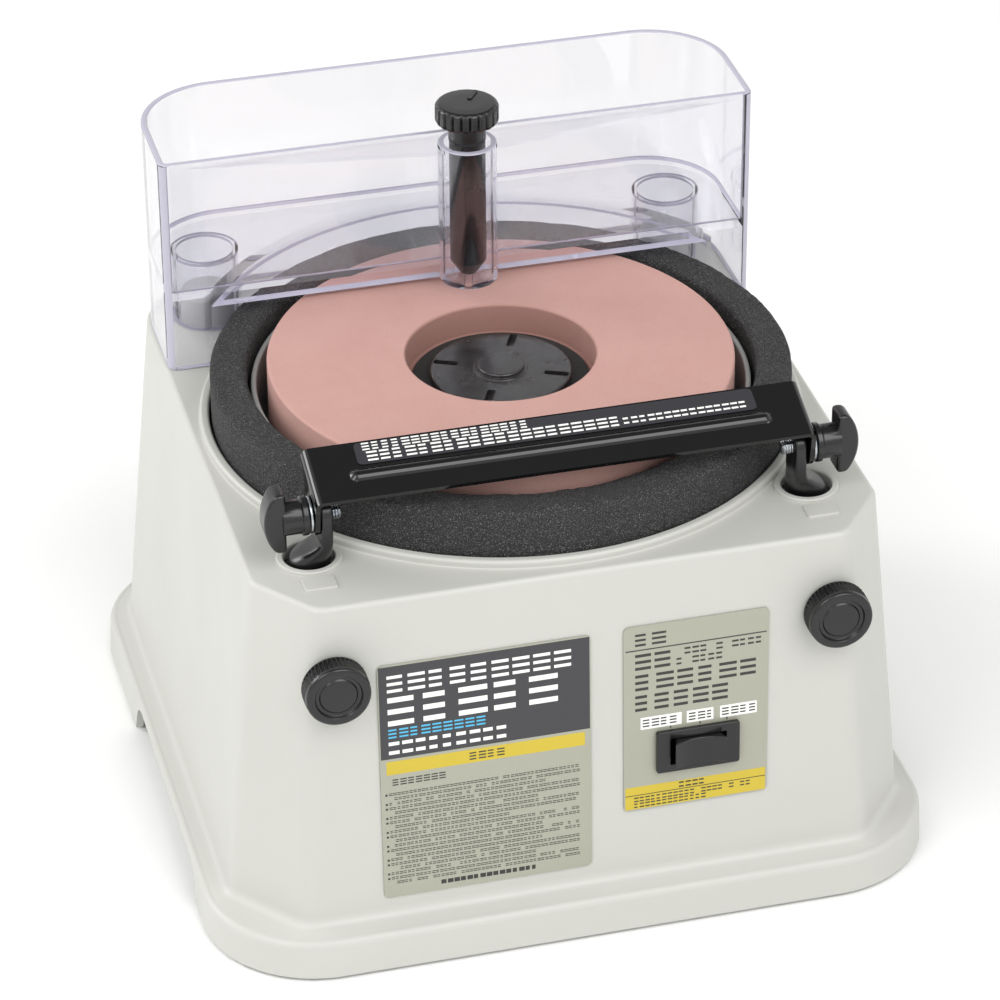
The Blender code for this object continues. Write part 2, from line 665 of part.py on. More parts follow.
def deck_additions():
    """Everything moulded onto the cabinet skin that doesn't touch the rest of the list."""
    added = [well_cup()]
    for place in boss_places():
        added.append(rod(BOSS_RADIUS, BOSS_BOTTOM, DECK_HEIGHT - SHELL_WALL / 2, SMALL_ROUND, place))
    for side in (1, -1):
        added.append(rod(SOCKET_COLLAR_RADIUS, DECK_HEIGHT - SHELL_WALL / 2,
                         DECK_HEIGHT + SOCKET_COLLAR_HEIGHT, MEDIUM_ROUND, (side * POST_X, POST_Y)))
        pad_x, pad_y = PAD_SIZE[0] / 2, PAD_SIZE[1] / 2
        added.append(block(
            (side * POST_X - pad_x, PAD_Y - pad_y, DECK_HEIGHT - SHELL_WALL / 2),
            (side * POST_X + pad_x, PAD_Y + pad_y, DECK_HEIGHT + PAD_HEIGHT)))
        added.append(rod(PEG_RADIUS, DECK_HEIGHT - SHELL_WALL / 2, DECK_HEIGHT + PEG_HEIGHT,
                         SMALL_ROUND, (side * PILLAR_PLACE[0], PILLAR_PLACE[1])))
    return gathered(added)


def shell_openings():
    """Holes in the finished cabinet: sockets, arches, switch, screws, gland and drain."""
    holes = []
    for side in (1, -1):
        holes.append(rod(SOCKET_RADIUS, DECK_HEIGHT - 2 * SHELL_WALL, DECK_HEIGHT + 0.01,
                         MEDIUM_ROUND, (side * POST_X, POST_Y)))
        near, far = sorted((side * (FOOT_HALF_WIDTH + 0.002), side * (SKIRT_HALF_WIDTH + 0.01)))
        holes.append(arch_cutter(near, far))
        stud = rod(STUD_RADIUS + SLIP_GAP, 0, 0.02, SMALL_ROUND)
        holes.append(towards_front(stud, (side * POST_X, wall_front(LOCK_Z) + 0.01, LOCK_Z)))
    for place in boss_places():
        holes.append(rod(SCREW_RADIUS + FIT_GAP, BOSS_BOTTOM - 0.01, BOSS_BOTTOM + BOSS_HOLE_DEPTH,
                         SMALL_ROUND, place))
    body_x, body_z = SWITCH_BODY_WIDTH / 2 + FIT_GAP, SWITCH_BODY_HEIGHT / 2 + FIT_GAP
    holes.append(block((SWITCH_X - body_x, FOOT_FRONT - 0.01, SWITCH_Z - body_z),
                       (SWITCH_X + body_x, FOOT_FRONT + 0.02, SWITCH_Z + body_z)))
    gland = rod(GLAND_NECK + FIT_GAP, 0, 0.02, SMALL_ROUND)
    holes.append(towards_front(gland, (GLAND_X, rear_wall(GLAND_Z) + 0.01, GLAND_Z)))
    holes.append(rod(DRAIN_RADIUS + SLIP_GAP, WELL_UNDERSIDE - 0.002, WELL_FLOOR + 0.002,
                     SMALL_ROUND, (0, DRAIN_Y)))
    spout = rod(DRAIN_RADIUS + DRAIN_WALL + SLIP_GAP + FIT_GAP + SLIP_GAP, 0, 0.02, SMALL_ROUND)
    holes.append(towards_front(spout, (0, rear_wall(DRAIN_PIPE_Z) + 0.01, DRAIN_PIPE_Z)))
    return gathered(holes)


def arch_cutter(near, far):
    """Low arch through one side of the skirt, with sloping ends."""
    below = SKIRT_BOTTOM - 0.006
    outline = [(ARCH_FRONT, below), (ARCH_FRONT + ARCH_SLOPE, ARCH_HEIGHT),
               (ARCH_REAR - ARCH_SLOPE, ARCH_HEIGHT), (ARCH_REAR, below)]
    return lofted([[(x, y, z) for y, z in outline] for x in (near, far)])


def build_cabinet():
    """Moulded cabinet shell with its well, sockets, pegs and openings."""
    shell = add_part("cabinet_shell", shell_skin(), "greige_abs")
    cut(shell, rod((WELL_RADIUS + WELL_OUTER) / 2, DECK_HEIGHT - 0.02, DECK_HEIGHT + 0.02,
                   LARGE_ROUND), "well_opening")
    unite(shell, deck_additions(), "mouldings")
    cut(shell, shell_openings(), "openings")


def build_base():
    """Bottom cover with vents, four feet and the four screws that hold it."""
    plan = round_plan(COVER_HALF_WIDTH, COVER_FRONT, COVER_REAR, COVER_CORNER, COVER_CORNER)
    cover = add_part("base_cover", prism(plan, COVER_BOTTOM, COVER_TOP), "greige_abs")
    holes = []
    for place in boss_places():
        holes.append(rod(SCREW_RADIUS + FIT_GAP, COVER_BOTTOM - 0.001, COVER_TOP + 0.001,
                         SMALL_ROUND, place))
    for step in range(VENT_COUNT):
        x = -COVER_HALF_WIDTH / 3 + VENT_PITCH * (step - (VENT_COUNT - 1) / 2)
        holes.append(block((x - VENT_WIDTH / 2, -VENT_LENGTH / 2, COVER_BOTTOM - 0.001),
                           (x + VENT_WIDTH / 2, VENT_LENGTH / 2, COVER_TOP + 0.001)))
    cut(cover, gathered(holes), "openings")
    names = ("front_right", "front_left", "rear_right", "rear_left")
    for name, place in zip(names, boss_places()):
        add_part(f"base_screw_{name}", screw_shape(place), "zinc", (*place, 0), True)
    places = [(side * FEET_X, y) for y in FEET_Y for side in (1, -1)]
    for name, place in zip(names, places):
        top = COVER_BOTTOM - FIT_GAP
        foot = turned([(0, 0), (FOOT_PAD_RADIUS * 0.85, 0), (FOOT_PAD_RADIUS * 0.92, 0.0015),
                       (FOOT_PAD_RADIUS, top), (0, top)], SMALL_ROUND, place)
        add_part(f"foot_{name}", foot, "rubber", (*place, 0), True)


def screw_shape(place):
    """Pan-head screw, head down, up through the cover into its boss."""
    head_top = COVER_BOTTOM - FIT_GAP
    tip = COVER_TOP + SCREW_LENGTH
    return turned([(0, head_top - SCREW_HEAD), (SCREW_HEAD_RADIUS * 0.8, head_top - SCREW_HEAD),
                   (SCREW_HEAD_RADIUS, head_top - SCREW_HEAD * 0.4), (SCREW_HEAD_RADIUS, head_top),
                   (SCREW_RADIUS, head_top), (SCREW_RADIUS, tip - 0.001), (0, tip)],
                  SMALL_ROUND, place)


# ---- Basin, foam and drain --------------------------------------------------------------
def build_basin():
    """Lift-out water basin with a drain spout, and the foam splash ring round it."""
    floor = WELL_FLOOR + FIT_GAP
    inner = BASIN_OUTER - BASIN_WALL
    tray = turned([
        (UPSTAND_INNER, floor), (BASIN_OUTER, floor), (BASIN_OUTER, BASIN_TOP), (inner, BASIN_TOP),
        (inner, floor + BASIN_FLOOR), (UPSTAND_OUTER, floor + BASIN_FLOOR),
        (UPSTAND_OUTER, UPSTAND_TOP), (UPSTAND_INNER, UPSTAND_TOP)], LARGE_ROUND)
    basin = add_part("basin", tray, "grey_basin", is_round=True)
    spout_bottom = WELL_UNDERSIDE - 0.008
    unite(basin, rod(DRAIN_RADIUS, spout_bottom, floor + BASIN_FLOOR / 2, SMALL_ROUND,
                     (0, DRAIN_Y)), "spout")
    cut(basin, rod(DRAIN_RADIUS - DRAIN_WALL, spout_bottom - 0.002, floor + 2 * BASIN_FLOOR,
                   SMALL_ROUND, (0, DRAIN_Y)), "spout_bore")
    ring = turned([
        (FOAM_INNER, floor), (FOAM_OUTER, floor), (FOAM_OUTER, FOAM_TOP - 0.001),
        (FOAM_OUTER - 0.001, FOAM_TOP), (FOAM_INNER + 0.001, FOAM_TOP), (FOAM_INNER, FOAM_TOP - 0.001)],
        LARGE_ROUND)
    add_part("foam_splash_ring", ring, "charcoal_foam", is_round=True)


def swept_pipe(path, inner, outer, segments):
    """Hollow pipe along a path of points in the YZ plane at x = 0."""
    shape = bmesh.new()
    skins = []
    for radius in (outer, inner):
        rings = []
        for index, point in enumerate(path):
            before = path[max(index - 1, 0)]
            after = path[min(index + 1, len(path) - 1)]
            along = (Vector(after) - Vector(before)).normalized()
            side = Vector((1, 0, 0))
            up = side.cross(along)
            ring = []
            for step in range(segments):
                angle = 2 * math.pi * step / segments
                offset = (side * math.cos(angle) + up * math.sin(angle)) * radius
                ring.append(shape.verts.new(Vector(point) + offset))
            rings.append(ring)
        for lower, upper in zip(rings, rings[1:]):
            join_rings(shape, lower, upper)
        skins.append(rings)
    join_rings(shape, skins[0][0], skins[1][0])
    join_rings(shape, skins[0][-1], skins[1][-1])
    return closed_shape(shape)


def build_drain():
    """Rubber elbow that takes the basin's water out through the rear wall."""
    inner = DRAIN_RADIUS + FIT_GAP
    outer = inner + DRAIN_WALL
    bend = 0.016
    top = WELL_UNDERSIDE - FIT_GAP
    path = [(0, DRAIN_Y, top), (0, DRAIN_Y, DRAIN_PIPE_Z + bend)]
    for step in range(1, 6):
        angle = math.radians(90 * step / 6)
        path.append((0, DRAIN_Y + bend * (1 - math.cos(angle)), DRAIN_PIPE_Z + bend * (1 - math.sin(angle))))
    path += [(0, DRAIN_Y + bend, DRAIN_PIPE_Z), (0, SKIRT_REAR - 0.001, DRAIN_PIPE_Z)]
    add_part("drain_elbow", swept_pipe(path, inner, outer, SMALL_ROUND), "rubber", is_round=True)


# ---- Spindle ----------------------------------------------------------------------------
def build_bearings():
    """Cast housing under the well floor, two bearings and the lip seal round the shaft."""
    step_radius = SPINDLE_RADIUS + 0.003
    bore = BEARING_RADIUS + FIT_GAP
    low_seat = HOUSING_BOTTOM + BEARING_HEIGHT + FIT_GAP
    high_seat = HOUSING_NECK_TOP - SEAL_HEIGHT - BEARING_HEIGHT - 3 * FIT_GAP
    housing = turned([
        (bore, HOUSING_BOTTOM), (HOUSING_RADIUS, HOUSING_BOTTOM), (HOUSING_RADIUS, FLANGE_BOTTOM),
        (HOUSING_FLANGE_RADIUS, FLANGE_BOTTOM), (HOUSING_FLANGE_RADIUS, FLANGE_TOP),
        (NECK_RADIUS_OUTER, FLANGE_TOP), (NECK_RADIUS_OUTER, HOUSING_NECK_TOP),
        (bore, HOUSING_NECK_TOP), (bore, high_seat), (step_radius, high_seat),
        (step_radius, low_seat), (bore, low_seat)], MEDIUM_ROUND)
    add_part("bearing_housing", housing, "cast_aluminium", is_round=True)
    shaft = SPINDLE_RADIUS + FIT_GAP
    lower = tube(shaft, BEARING_RADIUS, HOUSING_BOTTOM, HOUSING_BOTTOM + BEARING_HEIGHT)
    add_part("lower_bearing", lower, "steel", is_round=True)
    bottom = high_seat + FIT_GAP
    upper = tube(shaft, BEARING_RADIUS, bottom, bottom + BEARING_HEIGHT)
    add_part("upper_bearing", upper, "steel", is_round=True)
    seal_bottom = bottom + BEARING_HEIGHT + FIT_GAP
    seal = tube(shaft, BEARING_RADIUS, seal_bottom, seal_bottom + SEAL_HEIGHT)
    add_part("shaft_seal", seal, "rubber", is_round=True)


def build_spindle():
    """Everything that turns with the stone: shaft, pulley, slinger, platter and stone."""
    nose_bottom = PLATTER_BOTTOM + FIT_GAP
    nose_top = NUT_TOP - SOFT_EDGE
    shaft = turned([
        (0, SPINDLE_BOTTOM), (SPINDLE_RADIUS, SPINDLE_BOTTOM), (SPINDLE_RADIUS, nose_bottom),
        (SPINDLE_NOSE_RADIUS, nose_bottom), (SPINDLE_NOSE_RADIUS, nose_top), (0, nose_top)],
        MEDIUM_ROUND)
    add_part("spindle_shaft", shaft, "steel", is_round=True)
    add_part("driven_pulley", pulley_shape(DRIVEN_PULLEY_RADIUS, SPINDLE_RADIUS, MEDIUM_ROUND),
             "cast_aluminium", is_round=True)
    slinger_bottom = UPSTAND_TOP + SLIP_GAP
    slinger = turned([
        (SPINDLE_RADIUS + FIT_GAP, slinger_bottom), (UPSTAND_OUTER + SLIP_GAP, slinger_bottom),
        (SLINGER_RADIUS - 0.001, slinger_bottom - 0.0025), (SLINGER_RADIUS, slinger_bottom - 0.0020),
        (UPSTAND_OUTER + 2 * SLIP_GAP, slinger_bottom + SLINGER_THICKNESS),
        (SPINDLE_RADIUS + FIT_GAP, slinger_bottom + SLINGER_THICKNESS)], MEDIUM_ROUND)
    add_part("water_slinger", slinger, "rubber", is_round=True)
    bore = SPINDLE_NOSE_RADIUS + FIT_GAP
    hub_bottom = slinger_bottom + SLINGER_THICKNESS + FIT_GAP
    platter = turned([
        (SPINDLE_RADIUS + FIT_GAP, hub_bottom), (HUB_RADIUS, hub_bottom), (HUB_RADIUS, PLATTER_BOTTOM),
        (PLATTER_RADIUS, PLATTER_BOTTOM), (PLATTER_RADIUS, PLATTER_TOP), (bore, PLATTER_TOP),
        (bore, PLATTER_BOTTOM), (SPINDLE_RADIUS + FIT_GAP, PLATTER_BOTTOM)], MEDIUM_ROUND)
    add_part("stone_platter", platter, "cast_aluminium", is_round=True)
    add_part("grinding_stone", stone_shape(), "pink_stone", is_round=True)
    washer = tube(bore, WASHER_RADIUS, WASHER_BOTTOM, WASHER_BOTTOM + WASHER_THICKNESS)
    add_part("stone_washer", washer, "rubber", is_round=True)
    build_lock_nut(bore)


def stone_shape():
    """Recessed ring stone with lightly dressed edges."""
    bore = SPINDLE_NOSE_RADIUS + SLIP_GAP
    return turned([
        (bore, STONE_BOTTOM), (STONE_RADIUS - STONE_EDGE, STONE_BOTTOM),
        (STONE_RADIUS, STONE_BOTTOM + STONE_EDGE), (STONE_RADIUS, STONE_TOP - STONE_EDGE),
        (STONE_RADIUS - STONE_EDGE, STONE_TOP), (STONE_RECESS_RADIUS + STONE_EDGE, STONE_TOP),
        (STONE_RECESS_RADIUS, STONE_TOP - STONE_EDGE), (STONE_RECESS_RADIUS, RECESS_FLOOR),
        (bore, RECESS_FLOOR)], LARGE_ROUND)


def build_lock_nut(bore):
    """Round nut that clamps the stone, with four spanner slots at its rim."""
    cap_bottom = NUT_TOP - 0.0010
    nut = turned([
        (0, cap_bottom), (bore, cap_bottom), (bore, NUT_BOTTOM), (NUT_RADIUS, NUT_BOTTOM),
        (NUT_RADIUS, NUT_TOP - EDGE_BREAK), (NUT_RADIUS - EDGE_BREAK, NUT_TOP), (NUT_BOSS_RADIUS, NUT_TOP),
        (NUT_BOSS_RADIUS, NUT_TOP + NUT_BOSS_HEIGHT - EDGE_BREAK),
        (NUT_BOSS_RADIUS - EDGE_BREAK, NUT_TOP + NUT_BOSS_HEIGHT), (0, NUT_TOP + NUT_BOSS_HEIGHT),
        ], MEDIUM_ROUND)
    part = add_part("stone_lock_nut", nut, "black_plastic", is_round=True)
    slots = []
    for step in range(NUT_SLOTS):
        slot = block((NUT_RADIUS - NUT_SLOT_LENGTH, -NUT_SLOT_WIDTH / 2, NUT_TOP - NUT_SLOT_DEPTH),
                     (NUT_RADIUS + 0.002, NUT_SLOT_WIDTH / 2, NUT_TOP + 0.002))
        slots.append(moved(slot, Matrix.Rotation(2 * math.pi * step / NUT_SLOTS, 4, "Z")))
    cut(part, gathered(slots), "slots")


# ---- Drive ------------------------------------------------------------------------------
def pulley_shape(radius, shaft, segments, centre=(0.0, 0.0)):
    """Flat-belt pulley with two low flanges."""
    groove = radius - BELT_THICKNESS / 2
    rim = radius + PULLEY_FLANGE_DEPTH
    low, high = PULLEY_BOTTOM + PULLEY_FLANGE, PULLEY_TOP - PULLEY_FLANGE
    bore = shaft + FIT_GAP
    return turned([(bore, PULLEY_BOTTOM), (rim, PULLEY_BOTTOM), (rim, low), (groove, low),
                   (groove, high), (rim, high), (rim, PULLEY_TOP), (bore, PULLEY_TOP)],
                  segments, centre)


def belt_outline(large, small):
    """Loop round two circles: the spindle's at the origin and the motor's beside it."""
    lean = math.degrees(math.acos((large - small) / MOTOR_DISTANCE))
    heading = MOTOR_BEARING_DEGREES
    motor = (MOTOR_X, MOTOR_Y)
    around_motor = arc(motor, small, heading - lean, heading + lean, 12)
    around_spindle = arc((0, 0), large, heading + lean, heading + 360 - lean, 28)
    return around_motor + around_spindle


def build_belt():
    """Flat belt round both pulleys."""
    gap = FIT_GAP
    inner = belt_outline(DRIVEN_PULLEY_RADIUS - BELT_THICKNESS / 2 + 3 * gap,
                         DRIVE_PULLEY_RADIUS - BELT_THICKNESS / 2 + 2 * gap)
    outer = belt_outline(DRIVEN_PULLEY_RADIUS + BELT_THICKNESS / 2 + gap,
                         DRIVE_PULLEY_RADIUS + BELT_THICKNESS / 2 + gap)
    shape = bmesh.new()
    rings = []
    for outline, height in ((outer, BELT_BOTTOM), (outer, BELT_BOTTOM + BELT_HEIGHT),
                            (inner, BELT_BOTTOM + BELT_HEIGHT), (inner, BELT_BOTTOM)):
        rings.append([shape.verts.new((x, y, height)) for x, y in outline])
    for lower, upper in zip(rings, rings[1:] + rings[:1]):
        join_rings(shape, lower, upper)
    add_part("drive_belt", closed_shape(shape), "rubber", is_round=True)


def motor_plan(along, across):
    """Plan point given from the motor axis: along points to the spindle."""
    heading = math.radians(MOTOR_BEARING_DEGREES)
    back = Vector((-math.cos(heading), -math.sin(heading)))
    side = Vector((math.sin(heading), -math.cos(heading)))
    point = Vector((MOTOR_X, MOTOR_Y)) + along * back + across * side
    return (point.x, point.y)


def build_motor_bracket():
    """Steel plate on four legs that carries the motor over the belt."""
    near_x, near_y = BRACKET_NEAR_LEG
    far_x, far_y = BRACKET_FAR_LEG
    edge = BRACKET_LEG_RADIUS
    outline = [motor_plan(near_x + edge, near_y + edge), motor_plan(near_x + edge, -near_y - edge),
               motor_plan(0, -near_y - edge), motor_plan(far_x - edge, -far_y - edge),
               motor_plan(far_x - edge, far_y + edge), motor_plan(0, near_y + edge)]
    centre = (MOTOR_X, MOTOR_Y)
    bracket = add_part("motor_bracket", prism(outline, BRACKET_BOTTOM, BRACKET_TOP), "steel")
    legs = []
    for along, across in ((near_x, near_y), (near_x, -near_y), (far_x, far_y), (far_x, -far_y)):
        legs.append(rod(BRACKET_LEG_RADIUS, COVER_TOP + FIT_GAP, BRACKET_BOTTOM + BRACKET_PLATE / 2,
                        12, motor_plan(along, across)))
    unite(bracket, gathered(legs), "legs")
    cut(bracket, rod(MOTOR_SHAFT_RADIUS + 0.004, BRACKET_BOTTOM - 0.001, BRACKET_TOP + 0.001,
                     SMALL_ROUND, centre), "shaft_hole")


def build_motor():
    """Induction motor: two bells, the stator, and the turning rotor, pulley and fan."""
    centre = (MOTOR_X, MOTOR_Y)
    bore = MOTOR_SHAFT_RADIUS + FIT_GAP
    inner = MOTOR_RADIUS - STATOR_WALL
    skin = 0.003
    lower_top = MOTOR_BOTTOM + MOTOR_BELL_HEIGHT
    lower = turned([(bore, MOTOR_BOTTOM), (MOTOR_RADIUS, MOTOR_BOTTOM), (MOTOR_RADIUS, lower_top),
                    (inner, lower_top), (inner, MOTOR_BOTTOM + skin), (bore, MOTOR_BOTTOM + skin)],
                   MEDIUM_ROUND, centre)
    add_part("motor_lower_bell", lower, "cast_aluminium", is_round=True)
    stator = tube(inner, MOTOR_RADIUS, STATOR_BOTTOM, STATOR_TOP, MEDIUM_ROUND, centre)
    add_part("motor_stator", stator, "steel", is_round=True)
    upper_bottom = STATOR_TOP + FIT_GAP
    upper = turned([(inner, upper_bottom), (MOTOR_RADIUS, upper_bottom), (MOTOR_RADIUS, MOTOR_TOP),
                    (bore, MOTOR_TOP), (bore, MOTOR_TOP - skin), (inner, MOTOR_TOP - skin)],
                   MEDIUM_ROUND, centre)
    add_part("motor_upper_bell", upper, "cast_aluminium", is_round=True)
    build_rotor(centre)


def build_rotor(centre):
    """Rotor core on its shaft, the small pulley under it and the fan over it."""
    shaft = MOTOR_SHAFT_RADIUS
    shaft_bottom = PULLEY_BOTTOM - 0.002
    shaft_top = MOTOR_TOP + SLIP_GAP + FAN_HEIGHT
    rotor = turned([(0, shaft_bottom), (shaft, shaft_bottom), (shaft, STATOR_BOTTOM),
                    (ROTOR_RADIUS, STATOR_BOTTOM), (ROTOR_RADIUS, STATOR_TOP), (shaft, STATOR_TOP),
                    (shaft, shaft_top), (0, shaft_top)], MEDIUM_ROUND, centre)
    pivot = (*centre, 0)
    add_part("motor_rotor", rotor, "steel", pivot, True)
    pulley = pulley_shape(DRIVE_PULLEY_RADIUS, shaft, MEDIUM_ROUND, centre)
    add_part("drive_pulley", pulley, "cast_aluminium", pivot, True)
    fan_bottom = MOTOR_TOP + SLIP_GAP
    disc = tube(shaft + FIT_GAP, FAN_RADIUS, fan_bottom, fan_bottom + FAN_DISC, MEDIUM_ROUND, centre)
    fan = add_part("cooling_fan", disc, "black_plastic", pivot)
    blades = []
    for step in range(FAN_BLADES):
        blade = block((shaft + FAN_HUB, -FAN_BLADE / 2, fan_bottom + FAN_DISC / 2),
                      (FAN_RADIUS - EDGE_BREAK, FAN_BLADE / 2, fan_bottom + FAN_HEIGHT))
        turn = Matrix.Rotation(2 * math.pi * step / FAN_BLADES, 4, "Z")
        blades.append(moved(blade, Matrix.Translation((*centre, 0)) @ turn))
    unite(fan, gathered(blades), "blades")


# ---- Electrical pieces ------------------------------------------------------------------
def on_front_wall(shape, height):
    """Leans a shape made upright, with its back at y = 0, onto the front wall."""
    place = Matrix.Translation((0, wall_front(height), height))
    return moved(shape, place @ Matrix.Rotation(-WALL_SLOPE, 4, "X"))


def build_switch():
    """Rocker switch: bezel and body through the wall, and the rocker on its pin line."""
    half_x, half_z = SWITCH_WIDTH / 2, SWITCH_HEIGHT / 2
    body_x, body_z = SWITCH_BODY_WIDTH / 2, SWITCH_BODY_HEIGHT / 2
    centre = Matrix.Translation((SWITCH_X, 0, 0))
    back = -FIT_GAP - LABEL_THICKNESS - FIT_GAP
    bezel = block((-half_x, back - SWITCH_BEZEL, -half_z), (half_x, back, half_z))
    housing = add_part("switch_housing", on_front_wall(moved(bezel, centre), SWITCH_Z), "black_plastic")
    body = block((-body_x, back - SWITCH_BEZEL / 2, -body_z), (body_x, SWITCH_BODY_DEPTH, body_z))
    unite(housing, on_front_wall(moved(body, centre), SWITCH_Z), "body")
    pocket_x = ROCKER_WIDTH / 2 + SLIP_GAP
    pocket_z = ROCKER_HEIGHT / 2 + FIT_GAP
    pocket = block((-pocket_x, back - SWITCH_BEZEL - 0.002, -pocket_z), (pocket_x, ROCKER_DEPTH, pocket_z))
    cut(housing, on_front_wall(moved(pocket, centre), SWITCH_Z), "pocket")
    face = back - SWITCH_BEZEL
    outline = [(-ROCKER_WIDTH / 2, face - ROCKER_PROUD), (0, face - ROCKER_PROUD + ROCKER_DIP),
               (ROCKER_WIDTH / 2, face - ROCKER_PROUD), (ROCKER_FOOT / 2, ROCKER_FOOT_DEPTH),
               (-ROCKER_FOOT / 2, ROCKER_FOOT_DEPTH)]
    rocker = moved(prism(outline, -ROCKER_HEIGHT / 2, ROCKER_HEIGHT / 2), centre)
    pivot = (SWITCH_X, wall_front(SWITCH_Z), SWITCH_Z)
    add_part("switch_rocker", on_front_wall(rocker, SWITCH_Z), "black_plastic", pivot)


def build_electrics():
    """Run capacitor, terminal block and the inlet gland for the mains lead."""
    base = COVER_TOP + FIT_GAP
    can = turned([(0, base), (CAPACITOR_RADIUS, base), (CAPACITOR_RADIUS, base + CAPACITOR_LENGTH - 0.002),
                  (CAPACITOR_RADIUS - 0.002, base + CAPACITOR_LENGTH), (0, base + CAPACITOR_LENGTH)],
                 SMALL_ROUND, CAPACITOR_PLACE)
    add_part("run_capacitor", can, "white_plastic", is_round=True)
    length, width, height = TERMINAL_SIZE
    x, y = TERMINAL_PLACE
    terminal = add_part("terminal_block", block((x - length / 2, y - width / 2, base),
                                                (x + length / 2, y + width / 2, base + height)),
                        "white_plastic")
    grooves = [block((x - length / 2 + length * step / 5 - 0.0008, y - width, base + height * 0.6),
                     (x - length / 2 + length * step / 5 + 0.0008, y + width, base + height + 0.01))
               for step in range(1, 5)]
    cut(terminal, gathered(grooves), "grooves")
    wall = rear_wall(GLAND_Z)
    gland = turned([
        (GLAND_BORE, -GLAND_PROUD), (GLAND_NECK, -GLAND_PROUD), (GLAND_RADIUS, -GLAND_PROUD + SOFT_EDGE),
        (GLAND_RADIUS, -FIT_GAP * 3), (GLAND_NECK, -FIT_GAP * 3), (GLAND_NECK, 0.009),
        (GLAND_BORE, 0.009)], SMALL_ROUND)
    add_part("cord_inlet_gland", towards_front(gland, (GLAND_X, wall, GLAND_Z)), "rubber", is_round=True)


def build_labels():
    """Printed plates on the front wall."""
    for name, limits, finish_name in (("notice_label", NOTICE_LABEL, "label_dark"),
                                      ("use_label", USE_LABEL, "label_khaki")):
        left, right, low, high = limits
        middle = (low + high) / 2
        half = (high - low) / 2
        plate = block((left, -FIT_GAP - LABEL_THICKNESS, -half), (right, -FIT_GAP, half))
        label = add_part(name, on_front_wall(plate, middle), finish_name)
        if name == "use_label":
            window_x = SWITCH_BODY_WIDTH / 2 + SLIP_GAP
            window_z = SWITCH_BODY_HEIGHT / 2 + SLIP_GAP
            window = block((SWITCH_X - window_x, -0.01, -window_z), (SWITCH_X + window_x, 0.01, window_z))
            cut(label, on_front_wall(window, SWITCH_Z), "window")


# ---- Posts, bar and clamps --------------------------------------------------------------
def side_name(side):
    """Left and right as seen from the front."""
    return "right" if side > 0 else "left"


def build_post(side):
    """Guide post with a clamp tongue, and the sleeve it slides in."""
    x = side * POST_X
    post = turned([
        (0, POST_BOTTOM), (POST_RADIUS - 0.001, POST_BOTTOM), (POST_RADIUS, POST_BOTTOM + 0.001),
        (POST_RADIUS, POST_TOP - 0.003), (POST_RADIUS - 0.003, POST_TOP), (0, POST_TOP)],
        MEDIUM_ROUND, (x, POST_Y))
    part = add_part(f"guide_post_{side_name(side)}", post, "black_plastic", (x, POST_Y, POST_BOTTOM), True)
    unite(part, tongue_shape(side), "tongue")
    hole = rod(CLAMP_HOLE, 0, 0.02, SMALL_ROUND)
    cut(part, towards_x(hole, side, (side * (TONGUE_INNER - 0.007), CLAMP_Y, CLAMP_Z)), "clamp_hole")
    sleeve = tube(POST_RADIUS + FIT_GAP, SLEEVE_RADIUS, SLEEVE_BOTTOM,
                  DECK_HEIGHT - SHELL_WALL - FIT_GAP, MEDIUM_ROUND, (x, POST_Y))
    holder = add_part(f"post_sleeve_{side_name(side)}", sleeve, "steel", is_round=True)
    hole = rod(STUD_RADIUS + FIT_GAP, 0, SLEEVE_RADIUS + 0.004, SMALL_ROUND)
    cut(holder, towards_front(hole, (x, POST_Y, LOCK_Z)), "stud_hole")


def tongue_shape(side):
    """Flat tongue with a round end, along the inner face of the bar's ear."""
    outline = [(CLAMP_Y - TONGUE_HALF_WIDTH, POST_TOP - 0.0045),
               (CLAMP_Y + TONGUE_HALF_WIDTH, POST_TOP - 0.0045)]
    outline += arc((CLAMP_Y, CLAMP_Z), TONGUE_HALF_WIDTH, 0, 180, 10)
    near, far = sorted((side * TONGUE_INNER, side * TONGUE_OUTER))
    return lofted([[(x, y, z) for y, z in outline] for x in (near, far)])


def bar_matrix():
    """From the bar's own frame, level and on the clamp axis, to where it stands."""
    place = Matrix.Translation((0, CLAMP_Y, CLAMP_Z))
    return place @ Matrix.Rotation(math.radians(BAR_TILT_DEGREES), 4, "X")


